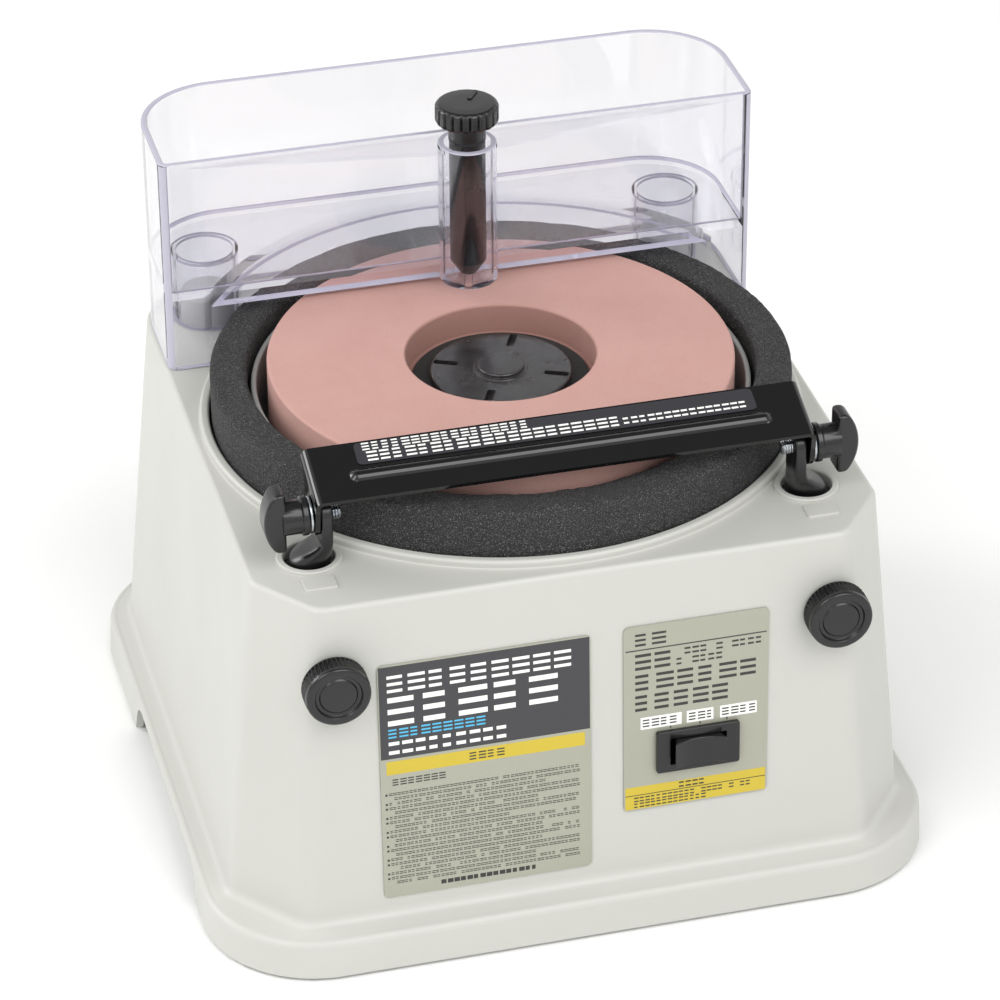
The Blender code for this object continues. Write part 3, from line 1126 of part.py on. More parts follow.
def build_rest_bar():
    """Pressed steel bar with a stiffening bead and an ear bent down at each end."""
    half, gauge = BAR_HALF_LENGTH, BAR_GAUGE
    plate = block((-half, BAR_FRONT, BAR_TOP - gauge), (half, BAR_REAR, BAR_TOP))
    pivot = (0, CLAMP_Y, CLAMP_Z)
    bar = add_part("tool_rest_bar", moved(plate, bar_matrix()), "black_enamel", pivot)
    extras = []
    tangent = EAR_RADIUS * math.cos(EAR_FLARE)
    outline = [(BAR_REAR, BAR_TOP - gauge / 2), (BAR_FRONT, BAR_TOP - gauge / 2), (-tangent, 0)]
    outline += arc((0, 0), EAR_RADIUS, 180 + EAR_ARC_INSET, 360 - EAR_ARC_INSET, 8)
    outline += [(tangent, SOFT_EDGE)]
    for side in (1, -1):
        near, far = sorted((side * EAR_INNER, side * half))
        extras.append(lofted([[(x, y, z) for y, z in outline] for x in (near, far)]))
    bead_low, bead_high = BAR_TOP - gauge / 2, BAR_TOP + BEAD_HEIGHT
    wide, narrow = BEAD_WIDTH / 2, BEAD_WIDTH / 4
    extras.append(lofted([
        [(-BEAD_HALF_LENGTH, BEAD_CENTRE - wide, bead_low), (BEAD_HALF_LENGTH, BEAD_CENTRE - wide, bead_low),
         (BEAD_HALF_LENGTH, BEAD_CENTRE + wide, bead_low), (-BEAD_HALF_LENGTH, BEAD_CENTRE + wide, bead_low)],
        [(-BEAD_HALF_LENGTH + wide, BEAD_CENTRE - narrow, bead_high),
         (BEAD_HALF_LENGTH - wide, BEAD_CENTRE - narrow, bead_high),
         (BEAD_HALF_LENGTH - wide, BEAD_CENTRE + narrow, bead_high),
         (-BEAD_HALF_LENGTH + wide, BEAD_CENTRE + narrow, bead_high)]]))
    unite(bar, moved(gathered(extras), bar_matrix()), "ears_and_bead")
    holes = [towards_x(rod(CLAMP_HOLE, 0, 0.02, SMALL_ROUND), side, (side * (EAR_INNER - 0.01), 0, 0))
             for side in (1, -1)]
    cut(bar, moved(gathered(holes), bar_matrix()), "clamp_holes")
    top = BAR_TOP + FIT_GAP
    plate = block((-REST_LABEL_HALF, BEAD_CENTRE + wide + 0.002, top),
                  (REST_LABEL_HALF, BAR_REAR - 0.001, top + LABEL_THICKNESS))
    add_part("rest_bar_label", moved(plate, bar_matrix()), "label_dark", pivot)


def wing_shape(side):
    """Wing screw head: round hub with a blind hole, and a paddle with an arched back."""
    pivot = (side * WING_INNER, CLAMP_Y, CLAMP_Z)
    hub = rod(WING_HUB_RADIUS, 0, WING_HUB_LENGTH + 0.001, SMALL_ROUND)
    name = f"wing_screw_{side_name(side)}"
    part = add_part(name, towards_x(hub, side, (side * WING_HUB_INNER, CLAMP_Y, CLAMP_Z)),
                    "black_plastic", pivot)
    outline = [(WING_HUB_LENGTH, -WING_HALF_HEIGHT), (WING_HUB_LENGTH, WING_HALF_HEIGHT)]
    for step in range(9):
        height = WING_HALF_HEIGHT * (1 - step / 4)
        rise = WING_THICKNESS * (0.5 + 0.5 * math.cos(math.pi / 2 * height / WING_HALF_HEIGHT))
        outline.append((WING_HUB_LENGTH + rise, height))
    half = WING_WIDTH / 2
    paddle = lofted([[(-z, y, x) for x, z in outline] for y in (-half, half)])
    unite(part, towards_x(paddle, side, (side * WING_HUB_INNER, CLAMP_Y, CLAMP_Z)), "paddle")
    hole = rod(CLAMP_HOLE, -0.002, WING_HUB_LENGTH - 0.001, SMALL_ROUND)
    cut(part, towards_x(hole, side, (side * WING_HUB_INNER, CLAMP_Y, CLAMP_Z)), "stud_hole")


def build_clamp(side):
    """Wing screw, its stud and its washer at one end of the bar."""
    wing_shape(side)
    label = side_name(side)
    stud_end = WING_HUB_INNER + WING_HUB_LENGTH - 0.001 - FIT_GAP
    stud = turned([(0, 0), (STUD_RADIUS - EDGE_BREAK, 0), (STUD_RADIUS, EDGE_BREAK),
                   (STUD_RADIUS, stud_end - STUD_INNER_END), (0, stud_end - STUD_INNER_END)], SMALL_ROUND)
    pivot = (side * STUD_INNER_END, CLAMP_Y, CLAMP_Z)
    add_part(f"clamp_stud_{label}", towards_x(stud, side, pivot), "zinc", pivot, True)
    washer = tube(CLAMP_HOLE, CLAMP_WASHER_RADIUS, 0, CLAMP_WASHER, SMALL_ROUND)
    pivot = (side * CLAMP_WASHER_INNER, CLAMP_Y, CLAMP_Z)
    add_part(f"clamp_washer_{label}", towards_x(washer, side, pivot), "zinc", pivot, True)


def build_post_lock(side):
    """Fluted knob on the front wall whose stud presses on the guide post."""
    label = side_name(side)
    x = side * POST_X
    outline = fluted(LOCK_KNOB_RADIUS, LOCK_FLUTE_DEPTH, LOCK_KNOB_FLUTES)
    tapered = [(u * LOCK_KNOB_CROWN, v * LOCK_KNOB_CROWN) for u, v in outline]
    body = lofted([at_height(outline, 0), at_height(outline, LOCK_KNOB_LENGTH - SOFT_EDGE),
                   at_height(tapered, LOCK_KNOB_LENGTH)])
    face = wall_front(LOCK_Z - LOCK_KNOB_RADIUS) - FIT_GAP
    pivot = (x, face, LOCK_Z)
    knob = add_part(f"post_lock_knob_{label}", towards_front(body, pivot), "black_plastic", pivot)
    recess = rod(LOCK_RECESS_RADIUS, LOCK_KNOB_LENGTH - LOCK_RECESS_DEPTH, LOCK_KNOB_LENGTH + 0.002,
                 MEDIUM_ROUND)
    socket = rod(STUD_RADIUS + FIT_GAP, -0.002, LOCK_KNOB_LENGTH * 0.6, SMALL_ROUND)
    cut(knob, towards_front(gathered([recess, socket]), pivot), "recess")
    inner_end = POST_Y - POST_RADIUS - FIT_GAP
    length = inner_end - face + LOCK_KNOB_LENGTH * 0.6 - FIT_GAP
    stud = rod(STUD_RADIUS, 0, length, SMALL_ROUND)
    end = (x, inner_end, LOCK_Z)
    add_part(f"post_lock_stud_{label}", towards_front(stud, end), "zinc", end, True)


# ---- Water tank and valve ---------------------------------------------------------------
def tank_inner_plan():
    """Plan inside the tank walls."""
    return round_plan(TANK_HALF_WIDTH - TANK_WALL, TANK_FRONT + TANK_WALL, TANK_REAR - TANK_WALL,
                      TANK_FRONT_CORNER - TANK_WALL, TANK_REAR_CORNER - TANK_WALL)


def arc_start():
    """Degrees round the spindle at which the arc skirt meets the tank's front wall."""
    return math.degrees(math.asin((TANK_FRONT + TANK_WALL) / TANK_ARC_RADIUS))


def outside_arc_plan():
    """Plan between the inside of the tank walls and the arc skirt round the foam."""
    front = TANK_FRONT + TANK_WALL
    start = arc_start()
    inner = [point for point in tank_inner_plan() if point[1] > front + 0.0005]
    arc_x = TANK_ARC_RADIUS * math.cos(math.radians(start))
    right = [point for point in inner if point[0] > 0]
    left = [point for point in inner if point[0] < 0]
    corner = TANK_HALF_WIDTH - TANK_WALL
    skirt = arc((0, 0), TANK_ARC_RADIUS, 180 - start, start, ARC_STEPS)
    return [(arc_x + 0.001, front), (corner, front)] + right + left + [
        (-corner, front), (-arc_x - 0.001, front)] + skirt[1:-1]


def tank_pillars():
    """Two hollow pillars that drop over the cabinet's pegs."""
    added = []
    leg_bottom = DECK_HEIGHT + FIT_GAP
    for side in (1, -1):
        place = (side * PILLAR_PLACE[0], PILLAR_PLACE[1])
        added.append(tube(PILLAR_RADIUS - PILLAR_WALL, PILLAR_RADIUS, leg_bottom,
                          TANK_FLOOR_TOP - TANK_FLOOR / 2, MEDIUM_ROUND, place))
    return gathered(added)


def valve_tube_shape():
    """Solid outside of the valve tube with its drip tip."""
    return turned([
        (0, DRIP_TIP_BOTTOM), (DRIP_TIP_RADIUS, VALVE_TUBE_BOTTOM), (VALVE_TUBE_RADIUS, VALVE_TUBE_BOTTOM),
        (VALVE_TUBE_RADIUS, TANK_RIM), (0, TANK_RIM)], MEDIUM_ROUND, (0, VALVE_Y))


def web_shape():
    """Thin web at the rim, from the tank's front wall out to the tube."""
    reach = TANK_HALF_WIDTH - TANK_FRONT_CORNER
    inside = TANK_FRONT + TANK_WALL / 2
    outline = [(-reach, inside), (-reach, TANK_FRONT), (-WEB_NOSE_HALF, WEB_FRONT),
               (WEB_NOSE_HALF, WEB_FRONT), (reach, TANK_FRONT), (reach, inside)]
    return prism(outline, TANK_RIM - WEB_THICKNESS, TANK_RIM - 0.0001)


def build_tank():
    """Clear drip tank: walls down to the deck round a stepped floor, with its valve tube."""
    leg_bottom = DECK_HEIGHT + FIT_GAP
    plan = round_plan(TANK_HALF_WIDTH, TANK_FRONT, TANK_REAR, TANK_FRONT_CORNER, TANK_REAR_CORNER)
    tank = add_part("water_tank", prism(plan, leg_bottom, TANK_RIM), "clear_tank")
    cut(tank, prism(tank_inner_plan(), TANK_FLOOR_TOP, TANK_RIM + 0.01), "water_space")
    underside = TANK_FLOOR_TOP - TANK_FLOOR
    cut(tank, prism(outside_arc_plan(), leg_bottom - 0.01, underside), "leg_spaces")
    arc_inner = TANK_ARC_RADIUS - TANK_WALL
    cut(tank, rod(arc_inner, leg_bottom - 0.01, TANK_LIP_BOTTOM, LARGE_ROUND), "foam_clearance")
    start = arc_start() + RECESS_MARGIN
    recess = arc((0, 0), arc_inner - TANK_WALL, start, 180 - start, ARC_STEPS)
    cut(tank, prism(recess, TANK_LIP_BOTTOM - 0.002, underside), "floor_recess")
    unite(tank, tank_pillars(), "pillars")
    unite(tank, web_shape(), "rim_web")
    unite(tank, valve_tube_shape(), "valve_tube")
    bore = rod(TUBE_BORE, VALVE_SEAT, TANK_RIM + 0.01, LARGE_ROUND, (0, VALVE_Y))
    cut(tank, bore, "tube_bore")
    cross = rod(CROSS_HOLE_RADIUS, 0, TANK_WALL + 0.008, SMALL_ROUND)
    centre = (0, TANK_FRONT + TANK_WALL + 0.004, TANK_FLOOR_TOP + CROSS_HOLE_RADIUS + 0.001)
    cut(tank, towards_front(cross, centre), "cross_hole")
    outlet = rod(OUTLET_RADIUS, DRIP_TIP_BOTTOM - 0.002, VALVE_SEAT + 0.002, SMALL_ROUND, (0, VALVE_Y))
    cut(tank, outlet, "outlet")


def build_valve():
    """Valve stem in the tube, with a cone that closes the outlet, and the knob on top."""
    centre = (0, VALVE_Y)
    seat = VALVE_SEAT + FIT_GAP
    top = KNOB_BOTTOM - FIT_GAP
    stem = turned([
        (0, seat), (STEM_TIP_RADIUS, seat), (STEM_RADIUS, seat + STEM_CONE), (STEM_RADIUS, TANK_RIM),
        (NECK_RADIUS, TANK_RIM + FIT_GAP), (NECK_RADIUS, top), (0, top)], MEDIUM_ROUND, centre)
    add_part("valve_stem", stem, "black_plastic", (*centre, seat), True)
    outline = [(x, y + VALVE_Y) for x, y in fluted(KNOB_RADIUS, KNOB_FLUTE_DEPTH, KNOB_FLUTES)]
    crown = [(x * KNOB_CROWN, VALVE_Y + (y - VALVE_Y) * KNOB_CROWN) for x, y in outline]
    knob_top = KNOB_BOTTOM + KNOB_HEIGHT
    knob = lofted([at_height(outline, KNOB_BOTTOM), at_height(outline, knob_top - SOFT_EDGE),
                   at_height(crown, knob_top)])
    part = add_part("valve_knob", knob, "black_plastic", (*centre, KNOB_BOTTOM))
    pointer = block((-POINTER_WIDTH / 2, VALVE_Y - KNOB_RADIUS * 0.8, knob_top - SLIP_GAP),
                    (POINTER_WIDTH / 2, VALVE_Y, knob_top + POINTER_HEIGHT))
    unite(part, pointer, "pointer")


def build_machine():
    """Builds every piece in the order it would be assembled."""
    clear_scene()
    frame = bpy.data.objects.new("machine_frame", None)
    frame.location = (0, SPINDLE_Y, 0)
    bpy.context.scene.collection.objects.link(frame)
    build_cabinet()
    build_base()
    build_basin()
    build_drain()
    build_bearings()
    build_spindle()
    build_belt()
    build_motor_bracket()
    build_motor()
    build_switch()
    build_electrics()
    build_labels()
    for side in (-1, 1):
        build_post(side)
        build_clamp(side)
        build_post_lock(side)
    build_rest_bar()
    build_tank()
    build_valve()


build_machine()
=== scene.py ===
"""Looks of a bench wet grinder: moulded cabinet, pink ring stone, foam splash ring, clear drip
tank and a pressed rest bar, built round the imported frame.

Shapes are made about the spindle axis and moved onto it when they are fitted.
"""

import sys

import logging
import math
import random
from collections.abc import Callable, Sequence
from dataclasses import dataclass, field, replace
from enum import Enum

import bmesh
import bpy
import numpy as np
from mathutils import Matrix, Vector, noise


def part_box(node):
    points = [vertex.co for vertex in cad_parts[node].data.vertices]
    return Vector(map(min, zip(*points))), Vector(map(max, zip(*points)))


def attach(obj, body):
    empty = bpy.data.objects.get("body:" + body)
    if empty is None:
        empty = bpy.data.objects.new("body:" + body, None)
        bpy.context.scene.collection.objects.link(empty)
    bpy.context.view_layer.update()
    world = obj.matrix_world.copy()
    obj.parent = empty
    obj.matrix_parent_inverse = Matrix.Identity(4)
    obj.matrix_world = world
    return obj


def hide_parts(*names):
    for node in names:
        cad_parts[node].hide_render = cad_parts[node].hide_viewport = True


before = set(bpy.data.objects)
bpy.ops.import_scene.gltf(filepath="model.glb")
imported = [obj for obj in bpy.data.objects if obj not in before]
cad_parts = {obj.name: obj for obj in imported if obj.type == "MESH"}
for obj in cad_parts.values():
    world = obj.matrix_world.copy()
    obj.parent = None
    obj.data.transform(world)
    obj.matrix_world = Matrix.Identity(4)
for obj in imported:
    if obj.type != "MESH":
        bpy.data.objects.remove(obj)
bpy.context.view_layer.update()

log = logging.getLogger("sharpener")
MM = 0.001
TURN = 2 * math.pi
QUARTER = math.pi / 2
SHARP_FOLD = math.radians(32)
Pair = tuple[float, float]
Triple = tuple[float, float, float]
Quad = tuple[float, float, float, float]
Corner = Triple
Mesh = bpy.types.Object


# ---- Names the record gives ------------
class Body(Enum):
    """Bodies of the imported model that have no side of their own."""

    CABINET = "cabinet"
    SPINDLE = "spindle"
    STONE_NUT = "stone_nut"
    TANK = "tank"
    VALVE_STEM = "valve_stem"
    VALVE_KNOB = "valve_knob"
    REST_BAR = "rest_bar"
    ROCKER = "rocker"


class Slot(Enum):
    """Material slots of the record that the fitted pieces use."""

    GREIGE_ABS = "greige_abs"
    GREY_BASIN = "grey_basin"
    CHARCOAL_FOAM = "charcoal_foam"
    CLEAR_TANK = "clear_tank"
    PINK_STONE = "pink_stone"
    BLACK_PLASTIC = "black_plastic"
    BLACK_ENAMEL = "black_enamel"
    RUBBER = "rubber"
    ZINC = "zinc"
    LABEL_PRINT = "label_print"


class Side(Enum):
    """Left and right as the operator sees them."""

    LEFT = -1
    RIGHT = 1

    @property
    def word(self) -> str:
        """The side's name, as the nodes spell it."""
        return self.name.lower()


def box_centre(name: str) -> Vector:
    """Middle of a CAD node's box."""
    low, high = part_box(name)
    return (low + high) / 2


AXIS = Vector((box_centre("grinding_stone").x, box_centre("grinding_stone").y, 0.0))


# ---- Colour and shader nodes ------------
def linear(hex_colour: str) -> Quad:
    """Turns an sRGB hex colour into the linear one that a shader takes.

    Args:
        hex_colour: Six hex digits.

    Returns:
        Linear red, green, blue and an alpha of one.
    """
    channels = [int(hex_colour[start:start + 2], 16) / 255 for start in (0, 2, 4)]
    straight = [c / 12.92 if c <= 0.04045 else ((c + 0.055) / 1.055) ** 2.4 for c in channels]
    return (*straight, 1.0)


def add_node(
    tree: bpy.types.NodeTree,
    kind: str,
    values: dict | None = None,
    links: dict | None = None,
    **settings: object,
) -> bpy.types.Node:
    """Adds one shader node.

    Args:
        tree: Node tree it goes in.
        kind: Type name without the ShaderNode prefix.
        values: Constants by input socket.
        links: Output sockets by input socket.
        settings: Properties of the node itself.

    Returns:
        The new node.
    """
    made = tree.nodes.new("ShaderNode" + kind)
    for name, setting in settings.items():
        setattr(made, name, setting)
    for socket, value in (values or {}).items():
        made.inputs[socket].default_value = value
    for socket, source in (links or {}).items():
        tree.links.new(source, made.inputs[socket])
    return made


# ---- Finishes ------------
@dataclass(frozen=True)
class Finish:
    """An opaque surface: a colour that drifts a little, a roughness that drifts, a fine grain.

    Sizes are real millimetres.
    """

    name: str
    colour: str
    second: str
    roughness: float
    metallic: float = 0.0
    ior: float = 1.5
    drift_mm: float = 30.0
    swing: float = 0.04
    grain_mm: float = 0.5
    grain_depth_mm: float = 0.01
    coat: float = 0.0
    coat_roughness: float = 0.03
    stretch: Triple = (1.0, 1.0, 1.0)

    def material(self) -> bpy.types.Material:
        """The finish as a material, made on first use."""
        known = bpy.data.materials.get(self.name)
        if known is not None:
            return known
        made = bpy.data.materials.new(self.name)
        made.use_nodes = True
        made.diffuse_color = linear(self.colour)
        self.wire(made.node_tree, made.node_tree.nodes["Principled BSDF"])
        return made

    def constants(self, shader: bpy.types.Node) -> None:
        """Sets what is the same all over the surface.

        Args:
            shader: The material's Principled shader.
        """
        shader.inputs["Metallic"].default_value = self.metallic
        shader.inputs["Coat Weight"].default_value = self.coat
        shader.inputs["Coat Roughness"].default_value = self.coat_roughness
        if self.metallic == 0.0:
            shader.inputs["IOR"].default_value = self.ior

    def place(self, tree: bpy.types.NodeTree) -> bpy.types.NodeSocket:
        """Position on the piece, stretched along a brushed or drawn direction.

        Args:
            tree: The material's nodes.

        Returns:
            The socket that carries the position.
        """
        where = add_node(tree, "TexCoord")
        turned = add_node(tree, "Mapping", {"Scale": self.stretch}, {"Vector": where.outputs["Object"]})
        return turned.outputs["Vector"]

    def wire(self, tree: bpy.types.NodeTree, shader: bpy.types.Node) -> None:
        """Wires colour drift, roughness drift and grain.

        Args:
            tree: The material's nodes.
            shader: Its Principled shader.
        """
        self.constants(shader)
        place = self.place(tree)
        drift = add_node(tree, "TexNoise", {"Scale": 1 / (self.drift_mm * MM), "Detail": 4.0},
                         {"Vector": place})
        colour = add_node(tree, "Mix", {6: linear(self.colour), 7: linear(self.second)},
                          {0: drift.outputs["Fac"]}, data_type="RGBA")
        tree.links.new(colour.outputs[2], shader.inputs["Base Color"])
        rough = add_node(tree, "MapRange", {"From Min": 0.3, "From Max": 0.7,
                                            "To Min": max(self.roughness - self.swing, 0.02),
                                            "To Max": self.roughness + self.swing},
                         {"Value": drift.outputs["Fac"]})
        tree.links.new(rough.outputs["Result"], shader.inputs["Roughness"])
        grain = add_node(tree, "TexNoise", {"Scale": 1 / (self.grain_mm * MM), "Detail": 3.0},
                         {"Vector": place})
        bump = add_node(tree, "Bump", {"Distance": self.grain_depth_mm * MM},
                        {"Height": grain.outputs["Fac"]})
        tree.links.new(bump.outputs["Normal"], shader.inputs["Normal"])


@dataclass(frozen=True)
class OpenCellFoam(Finish):
    """Cut polyurethane foam: cells a millimetre wide, black inside, with painted glints of light on their
    ribs.
    """

    cell_mm: float = 1.25
    # Colour of the painted glints: light caught on the cell ribs, painted into the base colour.
    painted_glint: str = "9A9A9A"

    def wire(self, tree: bpy.types.NodeTree, shader: bpy.types.Node) -> None:
        """Wires the cells, the painted glints of light on their ribs and the slow change of tone.

        Args:
            tree: The material's nodes.
            shader: Its Principled shader.
        """
        self.constants(shader)
        place = self.place(tree)
        cells = add_node(tree, "TexVoronoi", {"Scale": 1 / (self.cell_mm * MM)}, {"Vector": place})
        pits = add_node(tree, "MapRange", {"From Min": 0.15, "From Max": 0.75},
                        {"Value": cells.outputs["Distance"]})
        fine = add_node(tree, "TexNoise", {"Scale": 1 / (0.32 * self.cell_mm * MM), "Detail": 2.0},
                        {"Vector": place})
        slow = add_node(tree, "TexNoise", {"Scale": 1 / (self.drift_mm * MM)}, {"Vector": place})
        body = add_node(tree, "Mix", {6: linear(self.colour), 7: linear(self.second)},
                        {0: slow.outputs["Fac"]}, data_type="RGBA")
        # Painted highlight: where the fine noise peaks, light specks are mixed into the base colour as
        # glints on the cell ribs.
        ribs = add_node(tree, "MapRange", {"From Min": 0.54, "From Max": 0.74, "To Max": 0.6},
                        {"Value": fine.outputs["Fac"]})
        painted_glint_colour = add_node(tree, "Mix", {7: linear(self.painted_glint)},
                       {0: ribs.outputs["Result"], 6: body.outputs[2]}, data_type="RGBA")
        tree.links.new(painted_glint_colour.outputs[2], shader.inputs["Base Color"])
        shader.inputs["Roughness"].default_value = self.roughness
        height = add_node(tree, "Math", links={0: pits.outputs["Result"], 1: fine.outputs["Fac"]},
                          operation="ADD")
        bump = add_node(tree, "Bump", {"Distance": self.grain_depth_mm * MM},
                        {"Height": height.outputs["Value"]})
        tree.links.new(bump.outputs["Normal"], shader.inputs["Normal"])


@dataclass(frozen=True)
class BondedStone(Finish):
    """Vitrified pink abrasive: fine grit, cloudy tone, and painted shade that darkens the recess brown."""

    # Darker brown used for the grit specks and for the painted shade in the recess.
    grit_and_painted_shade: str = "7E5448"
    painted_shade_radius: float = 0.0365
    painted_shade_edge: float = 0.0012

    def wire(self, tree: bpy.types.NodeTree, shader: bpy.types.Node) -> None:
        """Wires clouds, grit specks and the painted shade inside the recess.

        Args:
            tree: The material's nodes.
            shader: Its Principled shader.
        """
        self.constants(shader)
        place = self.place(tree)
        clouds = add_node(tree, "TexNoise", {"Scale": 1 / (self.drift_mm * MM), "Detail": 5.0,
                                             "Roughness": 0.65}, {"Vector": place})
        body = add_node(tree, "Mix", {6: linear(self.colour), 7: linear(self.second)},
                        {0: clouds.outputs["Fac"]}, data_type="RGBA")
        grit = add_node(tree, "TexNoise", {"Scale": 1 / (self.grain_mm * MM), "Detail": 2.0},
                        {"Vector": place})
        speck = add_node(tree, "MapRange", {"From Min": 0.58, "From Max": 0.72, "To Max": 0.22},
                         {"Value": grit.outputs["Fac"]})
        worn = add_node(tree, "Mix", {7: linear(self.grit_and_painted_shade)},
                        {0: speck.outputs["Result"], 6: body.outputs[2]}, data_type="RGBA")
        level = add_node(tree, "VectorMath", {1: (1.0, 1.0, 0.0)}, {0: place}, operation="MULTIPLY")
        offset = add_node(tree, "VectorMath", {1: tuple(AXIS)}, {0: level.outputs[0]},
                          operation="SUBTRACT")
        radius = add_node(tree, "VectorMath", links={0: offset.outputs[0]}, operation="LENGTH")
        # Painted shade: inside the recess radius the colour turns to the darker brown, where shade falls.
        inside = add_node(tree, "MapRange", {"From Min": self.painted_shade_radius,
                                             "From Max": self.painted_shade_radius + self.painted_shade_edge,
                                             "To Min": 0.62, "To Max": 0.0},
                          {"Value": radius.outputs["Value"]})
        final = add_node(tree, "Mix", {7: linear(self.grit_and_painted_shade)},
                         {0: inside.outputs["Result"], 6: worn.outputs[2]}, data_type="RGBA")
        tree.links.new(final.outputs[2], shader.inputs["Base Color"])
        shader.inputs["Roughness"].default_value = self.roughness
        bump = add_node(tree, "Bump", {"Distance": self.grain_depth_mm * MM},
                        {"Height": grit.outputs["Fac"]})
        tree.links.new(bump.outputs["Normal"], shader.inputs["Normal"])


@dataclass(frozen=True)
class ClearStyrene(Finish):
    """Clear moulded styrene: thin walls almost vanish, and edges look lilac grey because the light
    has run a long way through the plastic. Lamps shine through it, so its shadow stays pale."""

    depth_colour: str = "BAB6C6"
    density: float = 26.0
    shadow_share: float = 0.88

    def wire(self, tree: bpy.types.NodeTree, shader: bpy.types.Node) -> None:
        """Wires the clear body, its pale shadow, the flow waves and the tint in depth.

        Args:
            tree: The material's nodes.
            shader: Its Principled shader.
        """
        self.constants(shader)
        shader.inputs["Base Color"].default_value = linear(self.colour)
        shader.inputs["Roughness"].default_value = self.roughness
        shader.inputs["Transmission Weight"].default_value = 1.0
        waves = add_node(tree, "TexNoise", {"Scale": 1 / (self.drift_mm * MM)},
                         {"Vector": self.place(tree)})
        bump = add_node(tree, "Bump", {"Distance": self.grain_depth_mm * MM},
                        {"Height": waves.outputs["Fac"]})
        tree.links.new(bump.outputs["Normal"], shader.inputs["Normal"])
        rays = add_node(tree, "LightPath")
        share = add_node(tree, "Math", {1: self.shadow_share}, {0: rays.outputs["Is Shadow Ray"]},
                         operation="MULTIPLY")
        through = add_node(tree, "BsdfTransparent", {"Color": linear(self.second)})
        mixed = add_node(tree, "MixShader", links={0: share.outputs["Value"], 1: shader.outputs["BSDF"],
                                                   2: through.outputs["BSDF"]})
        depth = add_node(tree, "VolumeAbsorption", {"Color": linear(self.depth_colour),
                                                    "Density": self.density})
        output = tree.nodes["Material Output"]
        tree.links.new(mixed.outputs["Shader"], output.inputs["Surface"])
        tree.links.new(depth.outputs["Volume"], output.inputs["Volume"])


# Moulded ABS, spark-eroded mould: an even off-white satin whose grain shows only when close.
GREIGE_ABS = Finish("moulded_greige_abs", "BDBDB7", "B9B9B3", 0.42, ior=1.53, drift_mm=60.0,
                    grain_mm=0.55, grain_depth_mm=0.012)
# Polypropylene basin: a little duller and greyer than the cabinet.
GREY_POLYPROPYLENE = Finish("moulded_grey_polypropylene", "A9ABA9", "9C9F9E", 0.5, ior=1.49,
                            drift_mm=25.0, grain_mm=0.8, grain_depth_mm=0.02)
# Open-cell polyurethane: soft charcoal with no shine, pricked with painted glints of light on the cell ribs.
FOAM = OpenCellFoam("cut_polyurethane_foam", "262626", "303030", 0.95, ior=1.45, drift_mm=18.0,
                    grain_depth_mm=0.55)
# Vitrified aluminium oxide stone: matt salmon pink, cloudy, with darker grit.
STONE = BondedStone("vitrified_pink_stone", "C0988F", "B48980", 0.88, ior=1.6, drift_mm=22.0,
                    grain_mm=0.7, grain_depth_mm=0.06)
# Styrene: hard clear gloss with slow flow waves. It bends light less than solid styrene does,
# which keeps thin walls thin to the eye, and a full coat gives back the hard gloss.
CLEAR_STYRENE = ClearStyrene("clear_moulded_styrene", "FBFBFD", "FBFBFE", 0.0, ior=1.06, coat=1.0,
                             coat_roughness=0.02, drift_mm=45.0, grain_depth_mm=0.05)
# Styrene edge colour: opaque milky lilac grey, painted light that stands in for the light the clear edges
# bend and reflect.
STYRENE_PAINTED_EDGE_LIGHT = Finish("styrene_painted_edge_light", "B2AFBD", "A8A5B5", 0.24, ior=1.57, drift_mm=20.0,
                      grain_mm=1.5, grain_depth_mm=0.01)
# Glass-filled nylon grips: near black, satin.
BLACK_NYLON = Finish("moulded_black_nylon", "0E0E10", "141416", 0.24, ior=1.53, drift_mm=12.0,
                     grain_mm=0.6, grain_depth_mm=0.015)
# Polished black phenolic nut: shinier than the grips.
BLACK_PHENOLIC = Finish("moulded_black_phenolic", "211F20", "2C2A2A", 0.22, ior=1.6, drift_mm=9.0,
                        swing=0.08, grain_mm=1.2, grain_depth_mm=0.01)
# Stove enamel over pressed steel: deep gloss black with a faint orange peel.
BLACK_ENAMEL = Finish("stoved_black_enamel", "070708", "0B0B0C", 0.07, ior=1.54, swing=0.02, drift_mm=20.0,
                      grain_mm=2.5, grain_depth_mm=0.004)
# Nitrile rubber: grey-black and matt.
NITRILE = Finish("moulded_nitrile_rubber", "232323", "2A2A2A", 0.78, ior=1.52, drift_mm=10.0,
                 grain_mm=0.5, grain_depth_mm=0.03)
# Bright zinc plate: cool silver with slight streaks.
ZINC_PLATE = Finish("bright_zinc_plate", "C6CACF", "AEB3B9", 0.26, metallic=1.0, drift_mm=3.0,
                    swing=0.08, grain_mm=0.4, grain_depth_mm=0.006)
# Turned steel: rings of fine tool marks.
TURNED_STEEL = Finish("turned_steel", "9C9DA1", "8A8B90", 0.36, metallic=1.0, drift_mm=6.0,
                      swing=0.06, grain_mm=0.5, grain_depth_mm=0.008, stretch=(1.0, 1.0, 4.0))
# Sand-cast aluminium: pale, open-grained and soft in its reflections.
CAST_ALUMINIUM = Finish("sand_cast_aluminium", "B8B9BC", "A5A6AA", 0.52, metallic=1.0, drift_mm=8.0,
                        swing=0.08, grain_mm=0.9, grain_depth_mm=0.05)
# White nylon of the electrical pieces.
WHITE_NYLON = Finish("moulded_white_nylon", "DAD9D2", "CFCEC6", 0.45, ior=1.53, drift_mm=10.0,
                     grain_mm=0.6, grain_depth_mm=0.01)
